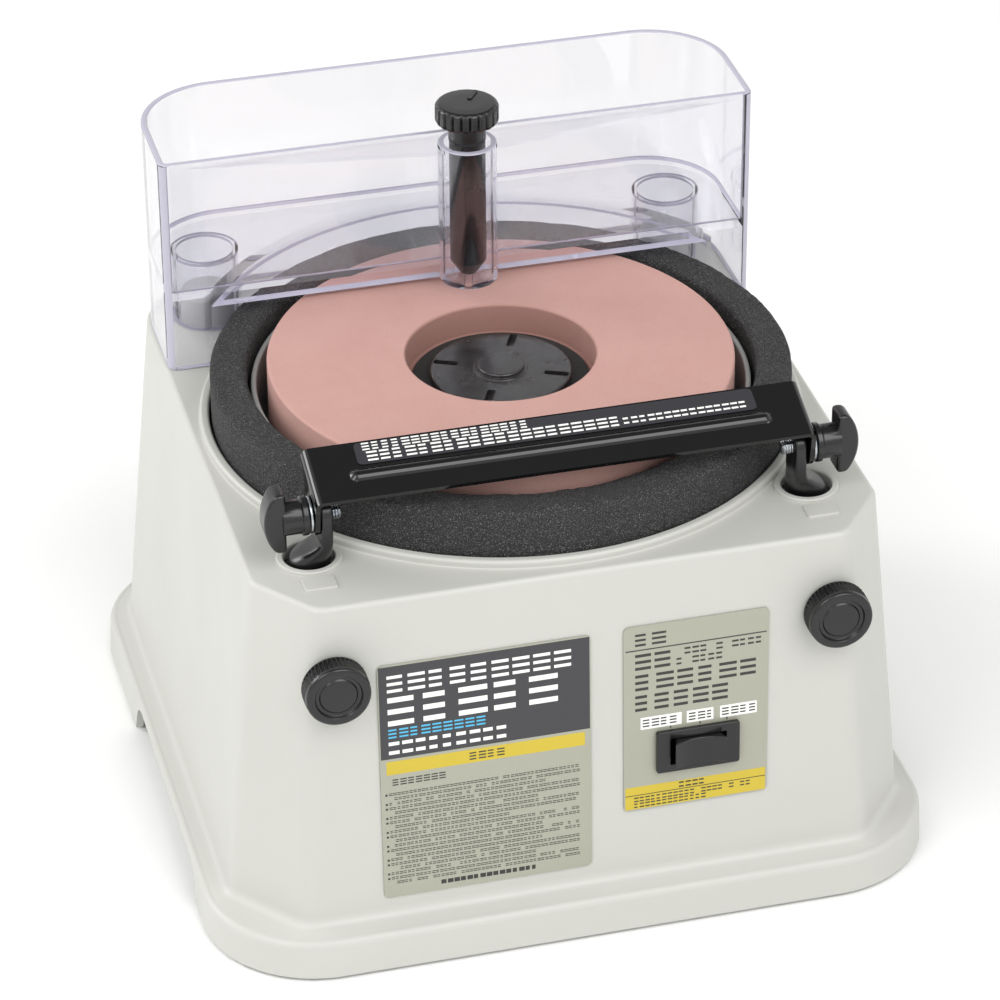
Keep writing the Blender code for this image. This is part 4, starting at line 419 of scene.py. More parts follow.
# Printed polyester film: smooth, with a low sheen.
KHAKI_FILM = Finish("printed_khaki_film", "9F9F91", "9A9A8B", 0.38, ior=1.57, drift_mm=40.0,
                    grain_mm=0.9, grain_depth_mm=0.004)
CHARCOAL_FILM = Finish("printed_charcoal_film", "323236", "2E2E32", 0.30, ior=1.57, drift_mm=40.0,
                       grain_mm=0.9, grain_depth_mm=0.004)
YELLOW_INK = Finish("yellow_screen_ink", "C4AE34", "BEA82E", 0.42, drift_mm=30.0, grain_mm=0.6,
                    grain_depth_mm=0.003)
WHITE_INK = Finish("white_screen_ink", "EEEEEA", "E8E8E4", 0.42, drift_mm=30.0, grain_mm=0.6,
                   grain_depth_mm=0.003)
BLACK_INK = Finish("black_screen_ink", "2A2A28", "30302E", 0.45, drift_mm=30.0, grain_mm=0.6,
                   grain_depth_mm=0.003)
CYAN_INK = Finish("cyan_screen_ink", "4FB4DC", "49ACD4", 0.42, drift_mm=30.0, grain_mm=0.6,
                  grain_depth_mm=0.003)
# Studio floor: pale matt paper.
PAPER = Finish("pale_studio_paper", "F4F4F3", "F1F1F0", 0.9, drift_mm=400.0, grain_mm=3.0,
               grain_depth_mm=0.01)

SLOT_FINISH: dict[Slot, Finish] = {
    Slot.GREIGE_ABS: GREIGE_ABS,
    Slot.GREY_BASIN: GREY_POLYPROPYLENE,
    Slot.CHARCOAL_FOAM: FOAM,
    Slot.CLEAR_TANK: CLEAR_STYRENE,
    Slot.PINK_STONE: STONE,
    Slot.BLACK_PLASTIC: BLACK_NYLON,
    Slot.BLACK_ENAMEL: BLACK_ENAMEL,
    Slot.RUBBER: NITRILE,
    Slot.ZINC: ZINC_PLATE,
    Slot.LABEL_PRINT: KHAKI_FILM,
}


# ---- Shape makers ------------
def filleted(corners: Sequence[Corner], closed: bool = True, steps: int = 6) -> list[Pair]:
    """Rounds the corners of an outline with arcs.

    Args:
        corners: Across, up and corner radius of each corner, in order.
        closed: Whether the last corner runs back to the first.
        steps: Segments of each arc.

    Returns:
        The outline's points.
    """
    points: list[Pair] = []
    count = len(corners)
    for index, (across, up, radius) in enumerate(corners):
        ends = not closed and index in (0, count - 1)
        if radius <= 0 or ends:
            points.append((across, up))
            continue
        corner = Vector((across, up))
        before = Vector(corners[index - 1][:2]) - corner
        after = Vector(corners[(index + 1) % count][:2]) - corner
        half = before.angle(after) / 2
        reach = min(radius / math.tan(half), 0.499 * before.length, 0.499 * after.length)
        size = reach * math.tan(half)
        middle = corner + (before.normalized() + after.normalized()).normalized() * size / math.sin(half)
        start = corner + before.normalized() * reach - middle
        end = corner + after.normalized() * reach - middle
        first = math.atan2(start.y, start.x)
        sweep = (math.atan2(end.y, end.x) - first + math.pi) % TURN - math.pi
        for step in range(steps + 1):
            angle = first + sweep * step / steps
            points.append((middle.x + size * math.cos(angle), middle.y + size * math.sin(angle)))
    return points


def arc(radius: float, start: float, end: float, steps: int, centre: Pair = (0.0, 0.0)) -> list[Pair]:
    """Points along an arc.

    Args:
        radius: Arc radius.
        start: First angle in degrees.
        end: Last angle in degrees.
        steps: Segments.
        centre: Arc centre.

    Returns:
        The arc's points.
    """
    angles = [math.radians(start + (end - start) * step / steps) for step in range(steps + 1)]
    return [(centre[0] + radius * math.cos(a), centre[1] + radius * math.sin(a)) for a in angles]


def rectangle(left: float, low: float, right: float, high: float, radius: float = 0.0,
              steps: int = 6) -> list[Pair]:
    """Outline of a rectangle with rounded corners, from its lower left corner round."""
    return filleted([(left, low, radius), (right, low, radius), (right, high, radius),
                     (left, high, radius)], steps=steps)


def quarter(steps: int) -> list[Pair]:
    """Shares inwards and upwards of a quarter round, from its foot to its crown."""
    angles = [QUARTER * step / steps for step in range(steps + 1)]
    return [(1 - math.cos(angle), math.sin(angle)) for angle in angles]


def finished(shape: bmesh.types.BMesh, name: str) -> Mesh:
    """Turns a bmesh into a smooth-shaded object with its normals out and its folds sharp.

    Args:
        shape: The mesh, which is freed.
        name: Object name.

    Returns:
        The new object.
    """
    bmesh.ops.recalc_face_normals(shape, faces=shape.faces)
    mesh = bpy.data.meshes.new(name)
    shape.to_mesh(mesh)
    shape.free()
    mesh.shade_smooth()
    mesh.set_sharp_from_angle(angle=SHARP_FOLD)
    made = bpy.data.objects.new(name, mesh)
    bpy.context.scene.collection.objects.link(made)
    return made


def lofted(name: str, rings: Sequence[Sequence[Sequence[float]]], loop: bool = False,
           closed_rings: bool = True) -> Mesh:
    """Skins rings that have the same number of points.

    Args:
        name: Object name.
        rings: Rings of points, each ring in the same order.
        loop: Whether the last ring joins the first; otherwise both ends are capped.
        closed_rings: Whether each ring closes on itself; open rings make an open sheet.

    Returns:
        The skinned object.
    """
    shape = bmesh.new()
    made = [[shape.verts.new(point) for point in ring] for ring in rings]
    pairs = list(zip(made, made[1:]))
    if loop:
        pairs.append((made[-1], made[0]))
    count = len(made[0])
    for lower, upper in pairs:
        for step in range(count if closed_rings else count - 1):
            after = (step + 1) % count
            shape.faces.new((lower[step], lower[after], upper[after], upper[step]))
    if not loop and closed_rings:
        shape.faces.new(made[0])
        shape.faces.new(made[-1])
    return finished(shape, name)


def turned(name: str, profile: Sequence[Pair], segments: int = 96, centre: Pair = (0.0, 0.0),
           reach: Callable[[float, float, float], float] | None = None) -> Mesh:
    """Solid of revolution about Z.

    Args:
        name: Object name.
        profile: Radius and height of each point; it runs from axis to axis or closes on itself.
        segments: Steps round the axis.
        centre: Where the axis stands.
        reach: Optional radius from radius, height and angle, for ribs and threads.

    Returns:
        The turned object.
    """
    shape = bmesh.new()
    rings = []
    for radius, height in profile:
        if radius < 1e-7:
            rings.append([shape.verts.new((*centre, height))])
            continue
        ring = []
        for step in range(segments):
            angle = TURN * step / segments
            out = reach(radius, height, angle) if reach else radius
            ring.append(shape.verts.new((centre[0] + out * math.cos(angle),
                                         centre[1] + out * math.sin(angle), height)))
        rings.append(ring)
    pairs = list(zip(rings, rings[1:]))
    if all(len(ring) > 1 for ring in rings):
        pairs.append((rings[-1], rings[0]))
    for lower, upper in pairs:
        for step in range(segments):
            after = (step + 1) % segments
            if len(lower) == 1:
                shape.faces.new((lower[0], upper[after], upper[step]))
            elif len(upper) == 1:
                shape.faces.new((lower[step], lower[after], upper[0]))
            else:
                shape.faces.new((lower[step], lower[after], upper[after], upper[step]))
    return finished(shape, name)


def stacked(name: str, levels: Sequence[tuple[Sequence[Pair], float]]) -> Mesh:
    """Skins plan outlines, each given with its height."""
    return lofted(name, [[(x, y, z) for x, y in outline] for outline, z in levels])


def prism(name: str, outline: Sequence[Pair], bottom: float, top: float) -> Mesh:
    """Straight upright extrusion of a plan outline."""
    return stacked(name, [(outline, bottom), (outline, top)])


def slab(name: str, outline: Sequence[Pair], near: float, far: float) -> Mesh:
    """Straight extrusion along Y of an outline given in X and Z."""
    return lofted(name, [[(x, y, z) for x, z in outline] for y in (near, far)])


def cushion(name: str, outline: Callable[[float], Sequence[Pair]], bottom: float, top: float,
            edge: float, steps: int = 4) -> Mesh:
    """Extrusion whose top edge is rounded.

    Args:
        name: Object name.
        outline: Plan outline for an inset.
        bottom: Lower height.
        top: Upper height.
        edge: Radius of the rounded top edge.
        steps: Segments of the rounding.

    Returns:
        The extruded object.
    """
    levels = [(0.0, bottom)]
    levels += [(edge * inward, top - edge * (1 - upward)) for inward, upward in quarter(steps)]
    return stacked(name, [(outline(inset), height) for inset, height in levels])


def rod(name: str, radius: float, bottom: float, top: float, segments: int = 64,
        centre: Pair = (0.0, 0.0)) -> Mesh:
    """Plain upright cylinder, for cutters and pins."""
    return turned(name, [(0, bottom), (radius, bottom), (radius, top), (0, top)], segments, centre)


def moved(piece: Mesh, matrix: Matrix) -> Mesh:
    """Moves a piece's own points."""
    piece.data.transform(matrix)
    return piece


def baked(piece: Mesh) -> Mesh:
    """Replaces a piece's mesh by what its modifiers make of it.

    Args:
        piece: The piece, which loses its modifiers.

    Returns:
        The same piece.
    """
    result = bpy.data.meshes.new_from_object(
        piece.evaluated_get(bpy.context.evaluated_depsgraph_get()))
    piece.modifiers.clear()
    piece.data = result
    return piece


def combined(piece: Mesh, tools: Sequence[Mesh], operation: str) -> Mesh:
    """Applies exact Booleans and removes the tools.

    Args:
        piece: The piece that is changed.
        tools: Closed tool pieces, used one after another.
        operation: UNION or DIFFERENCE.

    Returns:
        The same piece.
    """
    for tool in tools:
        modifier = piece.modifiers.new(tool.name, "BOOLEAN")
        modifier.operation = operation
        modifier.solver = "EXACT"
        modifier.object = tool
    bpy.context.view_layer.update()
    baked(piece)
    for tool in tools:
        bpy.data.objects.remove(tool)
    piece.data.shade_smooth()
    piece.data.set_sharp_from_angle(angle=SHARP_FOLD)
    return piece


def bevelled(piece: Mesh, width: float, segments: int = 3, angle: float = 35.0) -> Mesh:
    """Eases a piece's sharp edges.

    Args:
        piece: The piece.
        width: Bevel width.
        segments: Bevel segments.
        angle: Only edges that fold more than this many degrees.

    Returns:
        The same piece.
    """
    modifier = piece.modifiers.new("eased_edges", "BEVEL")
    modifier.width = width
    modifier.segments = segments
    modifier.limit_method = "ANGLE"
    modifier.angle_limit = math.radians(angle)
    modifier.harden_normals = True
    modifier.use_clamp_overlap = True
    bpy.context.view_layer.update()
    return baked(piece)


def dressed(piece: Mesh, finish: Finish) -> Mesh:
    """Gives a piece one finish, and area-weighted normals so that flats stay flat.

    Args:
        piece: The piece.
        finish: What it is made of and how.

    Returns:
        The same piece.
    """
    piece.data.materials.clear()
    piece.data.materials.append(finish.material())
    weighted = piece.modifiers.new("weighted_normals", "WEIGHTED_NORMAL")
    weighted.keep_sharp = True
    return piece


def fitted(piece: Mesh, body: str, slot: Slot, *nodes: str, finish: Finish | None = None) -> Mesh:
    """Moves a finished piece onto the spindle axis and fits it to the frame.

    Args:
        piece: A piece made about the spindle axis.
        body: The body it rides on.
        slot: The record's material slot.
        nodes: CAD nodes that it stands for.
        finish: Its finish, where it isn't the slot's own.

    Returns:
        The same piece.
    """
    moved(piece, Matrix.Translation(AXIS))
    dressed(piece, finish or SLOT_FINISH[slot])
    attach(piece, body)
    if nodes:
        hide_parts(*nodes)
    log.info("%s: %d faces on %s", piece.name, len(piece.data.polygons), body)
    return piece


def repaint(node: str, finish: Finish) -> None:
    """Gives a carried-over CAD node a finish in all its material slots.

    Args:
        node: Name of the CAD node.
        finish: What it is made of and how.
    """
    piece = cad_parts[node]
    if not piece.material_slots:
        piece.data.materials.append(None)
    for holder in piece.material_slots:
        holder.material = finish.material()
    log.info("%s keeps its CAD mesh", node)


# ---- Cabinet ------------
@dataclass(frozen=True)
class Plan:
    """A level of the cabinet: a rectangle with chamfered or round front corners."""

    half_width: float
    front: float
    rear: float
    chamfer: Pair
    front_radius: float
    rear_radius: float

    def inset(self, depth: float) -> "Plan":
        """The same plan drawn in on every side.

        Args:
            depth: How far; below zero it grows.

        Returns:
            The new plan.
        """
        shrink = depth * (2 - math.sqrt(2)) if self.chamfer[0] else 0.0
        return replace(
            self, half_width=self.half_width - depth, front=self.front + depth,
            rear=self.rear - depth, chamfer=(self.chamfer[0] - shrink, self.chamfer[1] - shrink),
            front_radius=self.front_radius if self.chamfer[0] else self.front_radius - depth,
            rear_radius=self.rear_radius - depth)

    def towards(self, other: "Plan", share: float) -> "Plan":
        """A plan part of the way to another one.

        Args:
            other: The plan at a share of one.
            share: How far towards it.

        Returns:
            The plan between.
        """
        def part(low: float, high: float) -> float:
            """Linear step between two sizes."""
            return low + (high - low) * share
        return Plan(part(self.half_width, other.half_width), part(self.front, other.front),
                    part(self.rear, other.rear),
                    (part(self.chamfer[0], other.chamfer[0]), part(self.chamfer[1], other.chamfer[1])),
                    part(self.front_radius, other.front_radius),
                    part(self.rear_radius, other.rear_radius))

    def outline(self) -> list[Pair]:
        """The plan's points, with every corner rounded."""
        wide, front, rear = self.half_width, self.front, self.rear
        across, along = self.chamfer
        corners: list[Corner] = []
        if across:
            corners += [(wide - across, front, self.front_radius),
                        (wide, front + along, self.front_radius)]
        else:
            corners.append((wide, front, self.front_radius))
        corners += [(wide, rear, self.rear_radius)]
        corners += [(-x, y, radius) for x, y, radius in reversed(corners)]
        return filleted(corners, steps=24)


def reaches(outline: Sequence[Pair], angles: np.ndarray) -> np.ndarray:
    """Distance from the spindle axis to an outline along each angle.

    Args:
        outline: Points of an outline that the axis sees all of.
        angles: Angles in radians, from -pi to pi.

    Returns:
        One distance per angle.
    """
    points = np.array(outline)
    polar = np.arctan2(points[:, 1], points[:, 0])
    order = np.argsort(polar)
    polar, points = polar[order], points[order]
    polar = np.concatenate([[polar[-1] - TURN], polar, [polar[0] + TURN]])
    points = np.concatenate([points[-1:], points, points[:1]])
    index = np.searchsorted(polar, angles, side="right") - 1
    start, run = points[index], points[index + 1] - points[index]
    ray = np.stack([np.cos(angles), np.sin(angles)], axis=1)
    return ((start[:, 0] * run[:, 1] - start[:, 1] * run[:, 0])
            / (ray[:, 0] * run[:, 1] - ray[:, 1] * run[:, 0]))


@dataclass
class Cabinet:
    """Moulded cabinet: skirt, sloping walls, deck, raised well lip, sockets, pads and pegs.

    The cove is where the wall meets the skirt, as pairs of spread and rise. A wall hole has a name, a
    place across, a height and a radius.
    """

    skirt: Plan = Plan(0.143, -0.138, 0.142, (0.0, 0.0), 0.045, 0.045)
    foot: Plan = Plan(0.1335, -0.1276, 0.1345, (0.0234, 0.0290), 0.009, 0.036)
    top: Plan = Plan(0.120, -0.122, 0.130, (0.0193, 0.0245), 0.009, 0.032)
    floor_gap: float = 0.0012
    skirt_top: float = 0.0175
    skirt_round: float = 0.0032
    skirt_draft: float = 0.0006
    foot_edge: float = 0.0006
    wall_foot: float = 0.0195
    cove: tuple[Pair, ...] = ((0.0034, -0.0009), (0.0019, -0.0004), (0.0008, 0.0006), (0.0002, 0.0018))
    cove_top: float = 0.0035
    deck: float = 0.1562
    deck_round: float = 0.0021
    wall: float = 0.003
    well_radius: float = 0.1128
    well_outer: float = 0.1158
    lip_outer: float = 0.1166
    lip_height: float = 0.0033
    well_floor: float = 0.137
    neck_hole: float = 0.0173
    socket_place: Pair = (0.0957, -0.0870)
    socket_radius: float = 0.0096
    socket_depth: float = 0.008
    collar_radius: float = 0.0123
    collar_height: float = 0.0014
    pad_size: Pair = (0.0125, 0.0085)
    pad_y: float = -0.1050
    pad_height: float = 0.0008
    pad_corner: float = 0.0012
    pad_edge: float = 0.0005
    peg_place: Pair = (0.0955, 0.101)
    peg_radius: float = 0.0105
    peg_height: float = 0.012
    peg_edge: float = 0.0012
    arch: Triple = (-0.080, 0.046, 0.0155)
    switch_hole: Quad = (0.0425, 0.0738, 0.0146, 0.0076)
    wall_holes: tuple[tuple[str, float, float, float], ...] = (
        ("lead_hole", -0.080, 0.042, 0.0058), ("drain_hole", 0.0, 0.112, 0.0078))
    level_steps: int = 8
    rounds: int = 720

    @property
    def slope(self) -> float:
        """Lean of the front wall from upright, in radians."""
        return math.atan2(self.top.front - self.foot.front, self.deck - self.wall_foot)

    def front_wall(self, height: float) -> float:
        """Y of the front wall's outer face at a height."""
        return self.foot.front + (height - self.wall_foot) * math.tan(self.slope)

    def rear_wall(self, height: float) -> float:
        """Y of the rear wall's outer face at a height."""
        share = (height - self.wall_foot) / (self.deck - self.wall_foot)
        return self.foot.rear + (self.top.rear - self.foot.rear) * share

    def wall_plan(self, height: float) -> Plan:
        """Plan of the wall's outer face at a height."""
        return self.foot.towards(self.top, (height - self.wall_foot) / (self.deck - self.wall_foot))

    def outside_levels(self) -> list[tuple[Plan, float]]:
        """Plans and heights up the outside, from the floor to the deck."""
        steps = self.level_steps
        levels = [(self.skirt.inset(self.foot_edge), self.floor_gap),
                  (self.skirt, self.floor_gap + self.foot_edge)]
        centre = self.skirt_top - self.skirt_round
        for inward, upward in quarter(steps):
            inset = self.skirt_draft + self.skirt_round * inward
            levels.append((self.skirt.inset(inset), centre + self.skirt_round * upward))
        for spread, rise in self.cove:
            levels.append((self.wall_plan(self.wall_foot + rise).inset(-spread), self.wall_foot + rise))
        start, end = self.wall_foot + self.cove_top, self.deck - self.deck_round
        for step in range(steps + 1):
            height = start + (end - start) * step / steps
            levels.append((self.wall_plan(height), height))
        for inward, upward in quarter(steps)[1:]:
            levels.append((self.wall_plan(end).inset(self.deck_round * inward),
                           end + self.deck_round * upward))
        return levels

    def well_levels(self) -> list[Pair]:
        """Radii and heights over the lip, down the well, and back under its floor."""
        lip, deck = self.deck + self.lip_height, self.deck
        under = self.well_floor - self.wall
        path: list[Corner] = [
            (self.lip_outer + 0.0009, deck, 0.0), (self.lip_outer, deck + 0.0002, 0.0006),
            (self.lip_outer, lip, 0.0014), (self.well_radius, lip, 0.0012),
            (self.well_radius, self.well_floor, 0.0015), (self.neck_hole, self.well_floor, 0.0),
            (self.neck_hole, under, 0.0), (self.well_outer, under, 0.0008),
            (self.well_outer, deck - self.wall, 0.0),
        ]
        return filleted(path, closed=False, steps=7)

    def inside_levels(self) -> list[tuple[Plan, float]]:
        """Plans and heights down the inside, from under the deck to the floor."""
        return [(self.top.inset(self.wall), self.deck - self.wall),
                (self.foot.inset(self.wall), self.wall_foot - self.wall / 2),
                (self.skirt.inset(self.skirt_round + self.wall), self.skirt_top - self.wall + 0.0010),
                (self.skirt.inset(self.wall + self.skirt_draft), self.skirt_top - self.wall - 0.0020),
                (self.skirt.inset(self.wall), self.floor_gap)]

    def skin(self) -> Mesh:
        """The whole moulding as one closed skin of matching rings."""
        angles = -math.pi + TURN * (np.arange(self.rounds) + 0.5) / self.rounds
        ray = np.stack([np.cos(angles), np.sin(angles)], axis=1)

        def ring(reach: np.ndarray, height: float) -> list[list[float]]:
            """Points at those distances along the rays."""
            return [[*point, height] for point in (ray * reach[:, None]).tolist()]

        rings = [ring(reaches(plan.outline(), angles), z) for plan, z in self.outside_levels()]
        rings += [ring(np.full(self.rounds, radius), z) for radius, z in self.well_levels()]
        rings += [ring(reaches(plan.outline(), angles), z) for plan, z in self.inside_levels()]
        return lofted("moulded_cabinet", rings, loop=True)

    def pad_outline(self, side: Side, inset: float) -> list[Pair]:
        """Outline of one of the two small pads by the sockets.

        Args:
            side: Which pad.
            inset: How far it is drawn in.

        Returns:
            The outline's points.
        """
        half_x, half_y = self.pad_size[0] / 2 - inset, self.pad_size[1] / 2 - inset
        x = side.value * self.socket_place[0]
        return rectangle(x - half_x, self.pad_y - half_y, x + half_x, self.pad_y + half_y,
                         self.pad_corner, steps=4)

    def mouldings(self) -> list[Mesh]:
        """Collars, pads and pegs that stand on the deck."""
        made = []
        low = self.deck - self.wall / 2
        for side in Side:
            collar_top = self.deck + self.collar_height
            collar = filleted([(0, low, 0), (self.collar_radius + 0.0006, low, 0),
                               (self.collar_radius, self.deck + 0.0001, 0.0008),
                               (self.collar_radius - 0.0001, collar_top, 0.0010), (0, collar_top, 0)],
                              closed=False)
            place = (side.value * self.socket_place[0], self.socket_place[1])
            made.append(turned(f"collar_{side.word}", collar, 72, place))
            made.append(cushion(f"pad_{side.word}", lambda inset, s=side: self.pad_outline(s, inset),
                                low, self.deck + self.pad_height, self.pad_edge))
            peg_top = self.deck + self.peg_height
            peg = filleted([(0, low, 0), (self.peg_radius, low, 0),
                            (self.peg_radius - 0.0002, peg_top, self.peg_edge), (0, peg_top, 0)],
                           closed=False)
            made.append(turned(f"peg_{side.word}", peg, 64,
                               (side.value * self.peg_place[0], self.peg_place[1])))
        return made

    def arch_cutter(self, side: Side) -> Mesh:
        """Cutter for the low hand arch in one side of the skirt.

        Args:
            side: Which side.

        Returns:
            The cutter.
        """
        front, rear, height = self.arch
        lean, low, shoulder = 0.6 * height, -0.005, 0.009
        outline = filleted([(front, low, 0), (front + lean * 0.7, height, shoulder),
                            (rear - lean * 0.7, height, shoulder), (rear, low, 0)])
        near, far = sorted((side.value * (self.foot.half_width + 0.002),
                            side.value * (self.skirt.half_width + 0.01)))
        return lofted(f"arch_{side.word}", [[(x, y, z) for y, z in outline] for x in (near, far)])

    def openings(self) -> list[Mesh]:
        """Cutters for the sockets, hand arches, switch, lead and drain."""
        cutters = []
        for side in Side:
            x, y = side.value * self.socket_place[0], self.socket_place[1]
            top = self.deck + self.collar_height
            low = self.deck - self.socket_depth
            mouth = filleted([(0, low, 0), (self.socket_radius, low, 0),
                              (self.socket_radius, top - 0.0001, 0.0008),
                              (self.socket_radius + 0.003, top + 0.0004, 0), (0, top + 0.0004, 0)],
                             closed=False)
            cutters.append(turned(f"socket_{side.word}", mouth, 72, (x, y)))
            cutters.append(self.arch_cutter(side))
        x, z, half_x, half_z = self.switch_hole
        cutters.append(slab("switch_hole", rectangle(x - half_x, z - half_z, x + half_x, z + half_z),
                            self.front_wall(z) - 0.004, self.front_wall(z) + 0.010))
        for name, x, z, radius in self.wall_holes:
            hole = rod(name, radius, -0.01, 0.01, 48)
            turn = Matrix.Translation((x, self.rear_wall(z), z)) @ Matrix.Rotation(QUARTER, 4, "X")
            cutters.append(moved(hole, turn))
        return cutters

    def build(self) -> None:
        """Builds the cabinet and dresses it."""
        shell = self.skin()
        combined(shell, self.mouldings(), "UNION")
        combined(shell, self.openings(), "DIFFERENCE")
        fitted(shell, Body.CABINET.value, Slot.GREIGE_ABS, "cabinet_shell")


# ---- Splash well ------------
@dataclass
class SplashWell:
    """Lift-out basin and the foam ring that stands round it.

    The upstand and the drain are given as three sizes each: the upstand's bore, radius and top, and the
    drain's place, radius and bore. Waves are pairs of how many to a metre and their share.
    """

    foam_inner: float = 0.098
    foam_outer: float = 0.112
    foam_top: float = 0.1776
    floor: float = 0.1373
    foam_round: float = 0.0020
    foam_steps: int = 480
    foam_grid: float = 0.0016
    basin_outer: float = 0.0964
    basin_wall: float = 0.0022
    basin_top: float = 0.1705
    upstand: Triple = (0.0178, 0.0200, 0.145)
    drain: Triple = (0.080, 0.0048, 0.0034)
    lump: float = 0.0008
    waves: tuple[Pair, ...] = ((90.0, 0.6), (420.0, 0.4))
    rough_from: float = 0.150
    rough_blend: float = 0.010
    edge_band: float = 0.004
    slump: float = 0.0030
    lean: float = 0.0052
    slump_half_angle: float = 46.0
    slump_share: float = 0.62

    def foam_profile(self) -> list[Pair]:
        """Section of the foam ring, counter-clockwise from its inner foot."""
        corners: list[Corner] = [
            (self.foam_inner, self.floor, 0.001), (self.foam_outer, self.floor, 0.001),
            (self.foam_outer, self.foam_top, self.foam_round),
            (self.foam_inner, self.foam_top, self.foam_round)]
        dense = []
        rough = filleted(corners, steps=6)
        for start, end in zip(rough, rough[1:] + rough[:1]):
            run = Vector(end) - Vector(start)
            pieces = max(1, round(run.length / self.foam_grid))
            dense += [tuple(Vector(start) + run * step / pieces) for step in range(pieces)]
        return dense

    def pressed(self, radius: float, height: float, angle: float) -> Pair:
        """Where a point of the foam goes when its front has sagged in towards the stone.

        Args:
            radius: The point's radius.
            height: Its height.
            angle: Its angle round the spindle.

        Returns:
            Its new radius and height.
        """
        off_front = abs((math.degrees(angle) + 90.0 + 180.0) % 360.0 - 180.0)
        share = max(0.0, 1.0 - (off_front / self.slump_half_angle) ** 2)
        across = (radius - self.foam_inner) / (self.foam_outer - self.foam_inner)
        inward = max(0.0, 1.0 - across / self.slump_share)
        upper = max(0.0, (height - self.floor) / (self.foam_top - self.floor))
        sag = share * inward ** 0.8 * upper ** 3
        return radius - self.lean * sag, height - self.slump * sag

    def build_foam(self) -> None:
        """Builds the foam ring with uneven faces and its sagging front."""
        rings = []
        profile = self.foam_profile()
        middle = (self.foam_inner + self.foam_outer) / 2
        for step in range(self.foam_steps):
            angle = TURN * step / self.foam_steps
            flat = Vector((math.cos(angle), math.sin(angle), 0.0))
            ring = []
            for radius, height in profile:
                reach, sunk = self.pressed(radius, height, angle)
                point = Vector((reach * math.cos(angle), reach * math.sin(angle), sunk))
                wave = sum(noise.noise(point * scale) * share for scale, share in self.waves)
                top_share = min(1.0, max(0.0, (height - self.rough_from) / self.rough_blend))
                push = self.lump * wave * top_share
                out = 0.0
                if radius < middle - self.edge_band:
                    out = -1.0
                elif radius > middle + self.edge_band:
                    out = 0.3
                point += flat * min(0.0, push * out) + Vector((0, 0, min(0.0, push - self.lump * 0.2)))
                ring.append(point)
            rings.append(ring)
        foam = lofted("foam_splash_wall", rings, loop=True)
        fitted(foam, Body.CABINET.value, Slot.CHARCOAL_FOAM, "foam_splash_ring")

    def build_basin(self) -> None:
        """Builds the basin with a rolled rim."""
        inner = self.basin_outer - self.basin_wall
        hole, stand, stand_top = self.upstand
        base = self.floor + 0.002
        profile = filleted([
            (hole, self.floor, 0), (self.basin_outer, self.floor, 0.002),
            (self.basin_outer, self.basin_top, 0.0009), (inner, self.basin_top, 0.0009),
            (inner, base, 0.003), (stand, base, 0.002), (stand, stand_top, 0.0008),
            (hole, stand_top, 0.0008)])
        basin = turned("lift_out_basin", profile, 160)
        drain_y, drain_radius, drain_bore = self.drain
        spout = rod("drain_spout", drain_radius, self.floor - 0.011, self.floor + 0.001, 48, (0, drain_y))
        combined(basin, [spout], "UNION")
        hole = rod("drain_bore", drain_bore, self.floor - 0.02, self.floor + 0.01, 48, (0, drain_y))
        combined(basin, [hole], "DIFFERENCE")
        fitted(basin, Body.CABINET.value, Slot.GREY_BASIN, "basin")

    def build(self) -> None:
        """Builds basin and foam."""
        self.build_basin()
        self.build_foam()


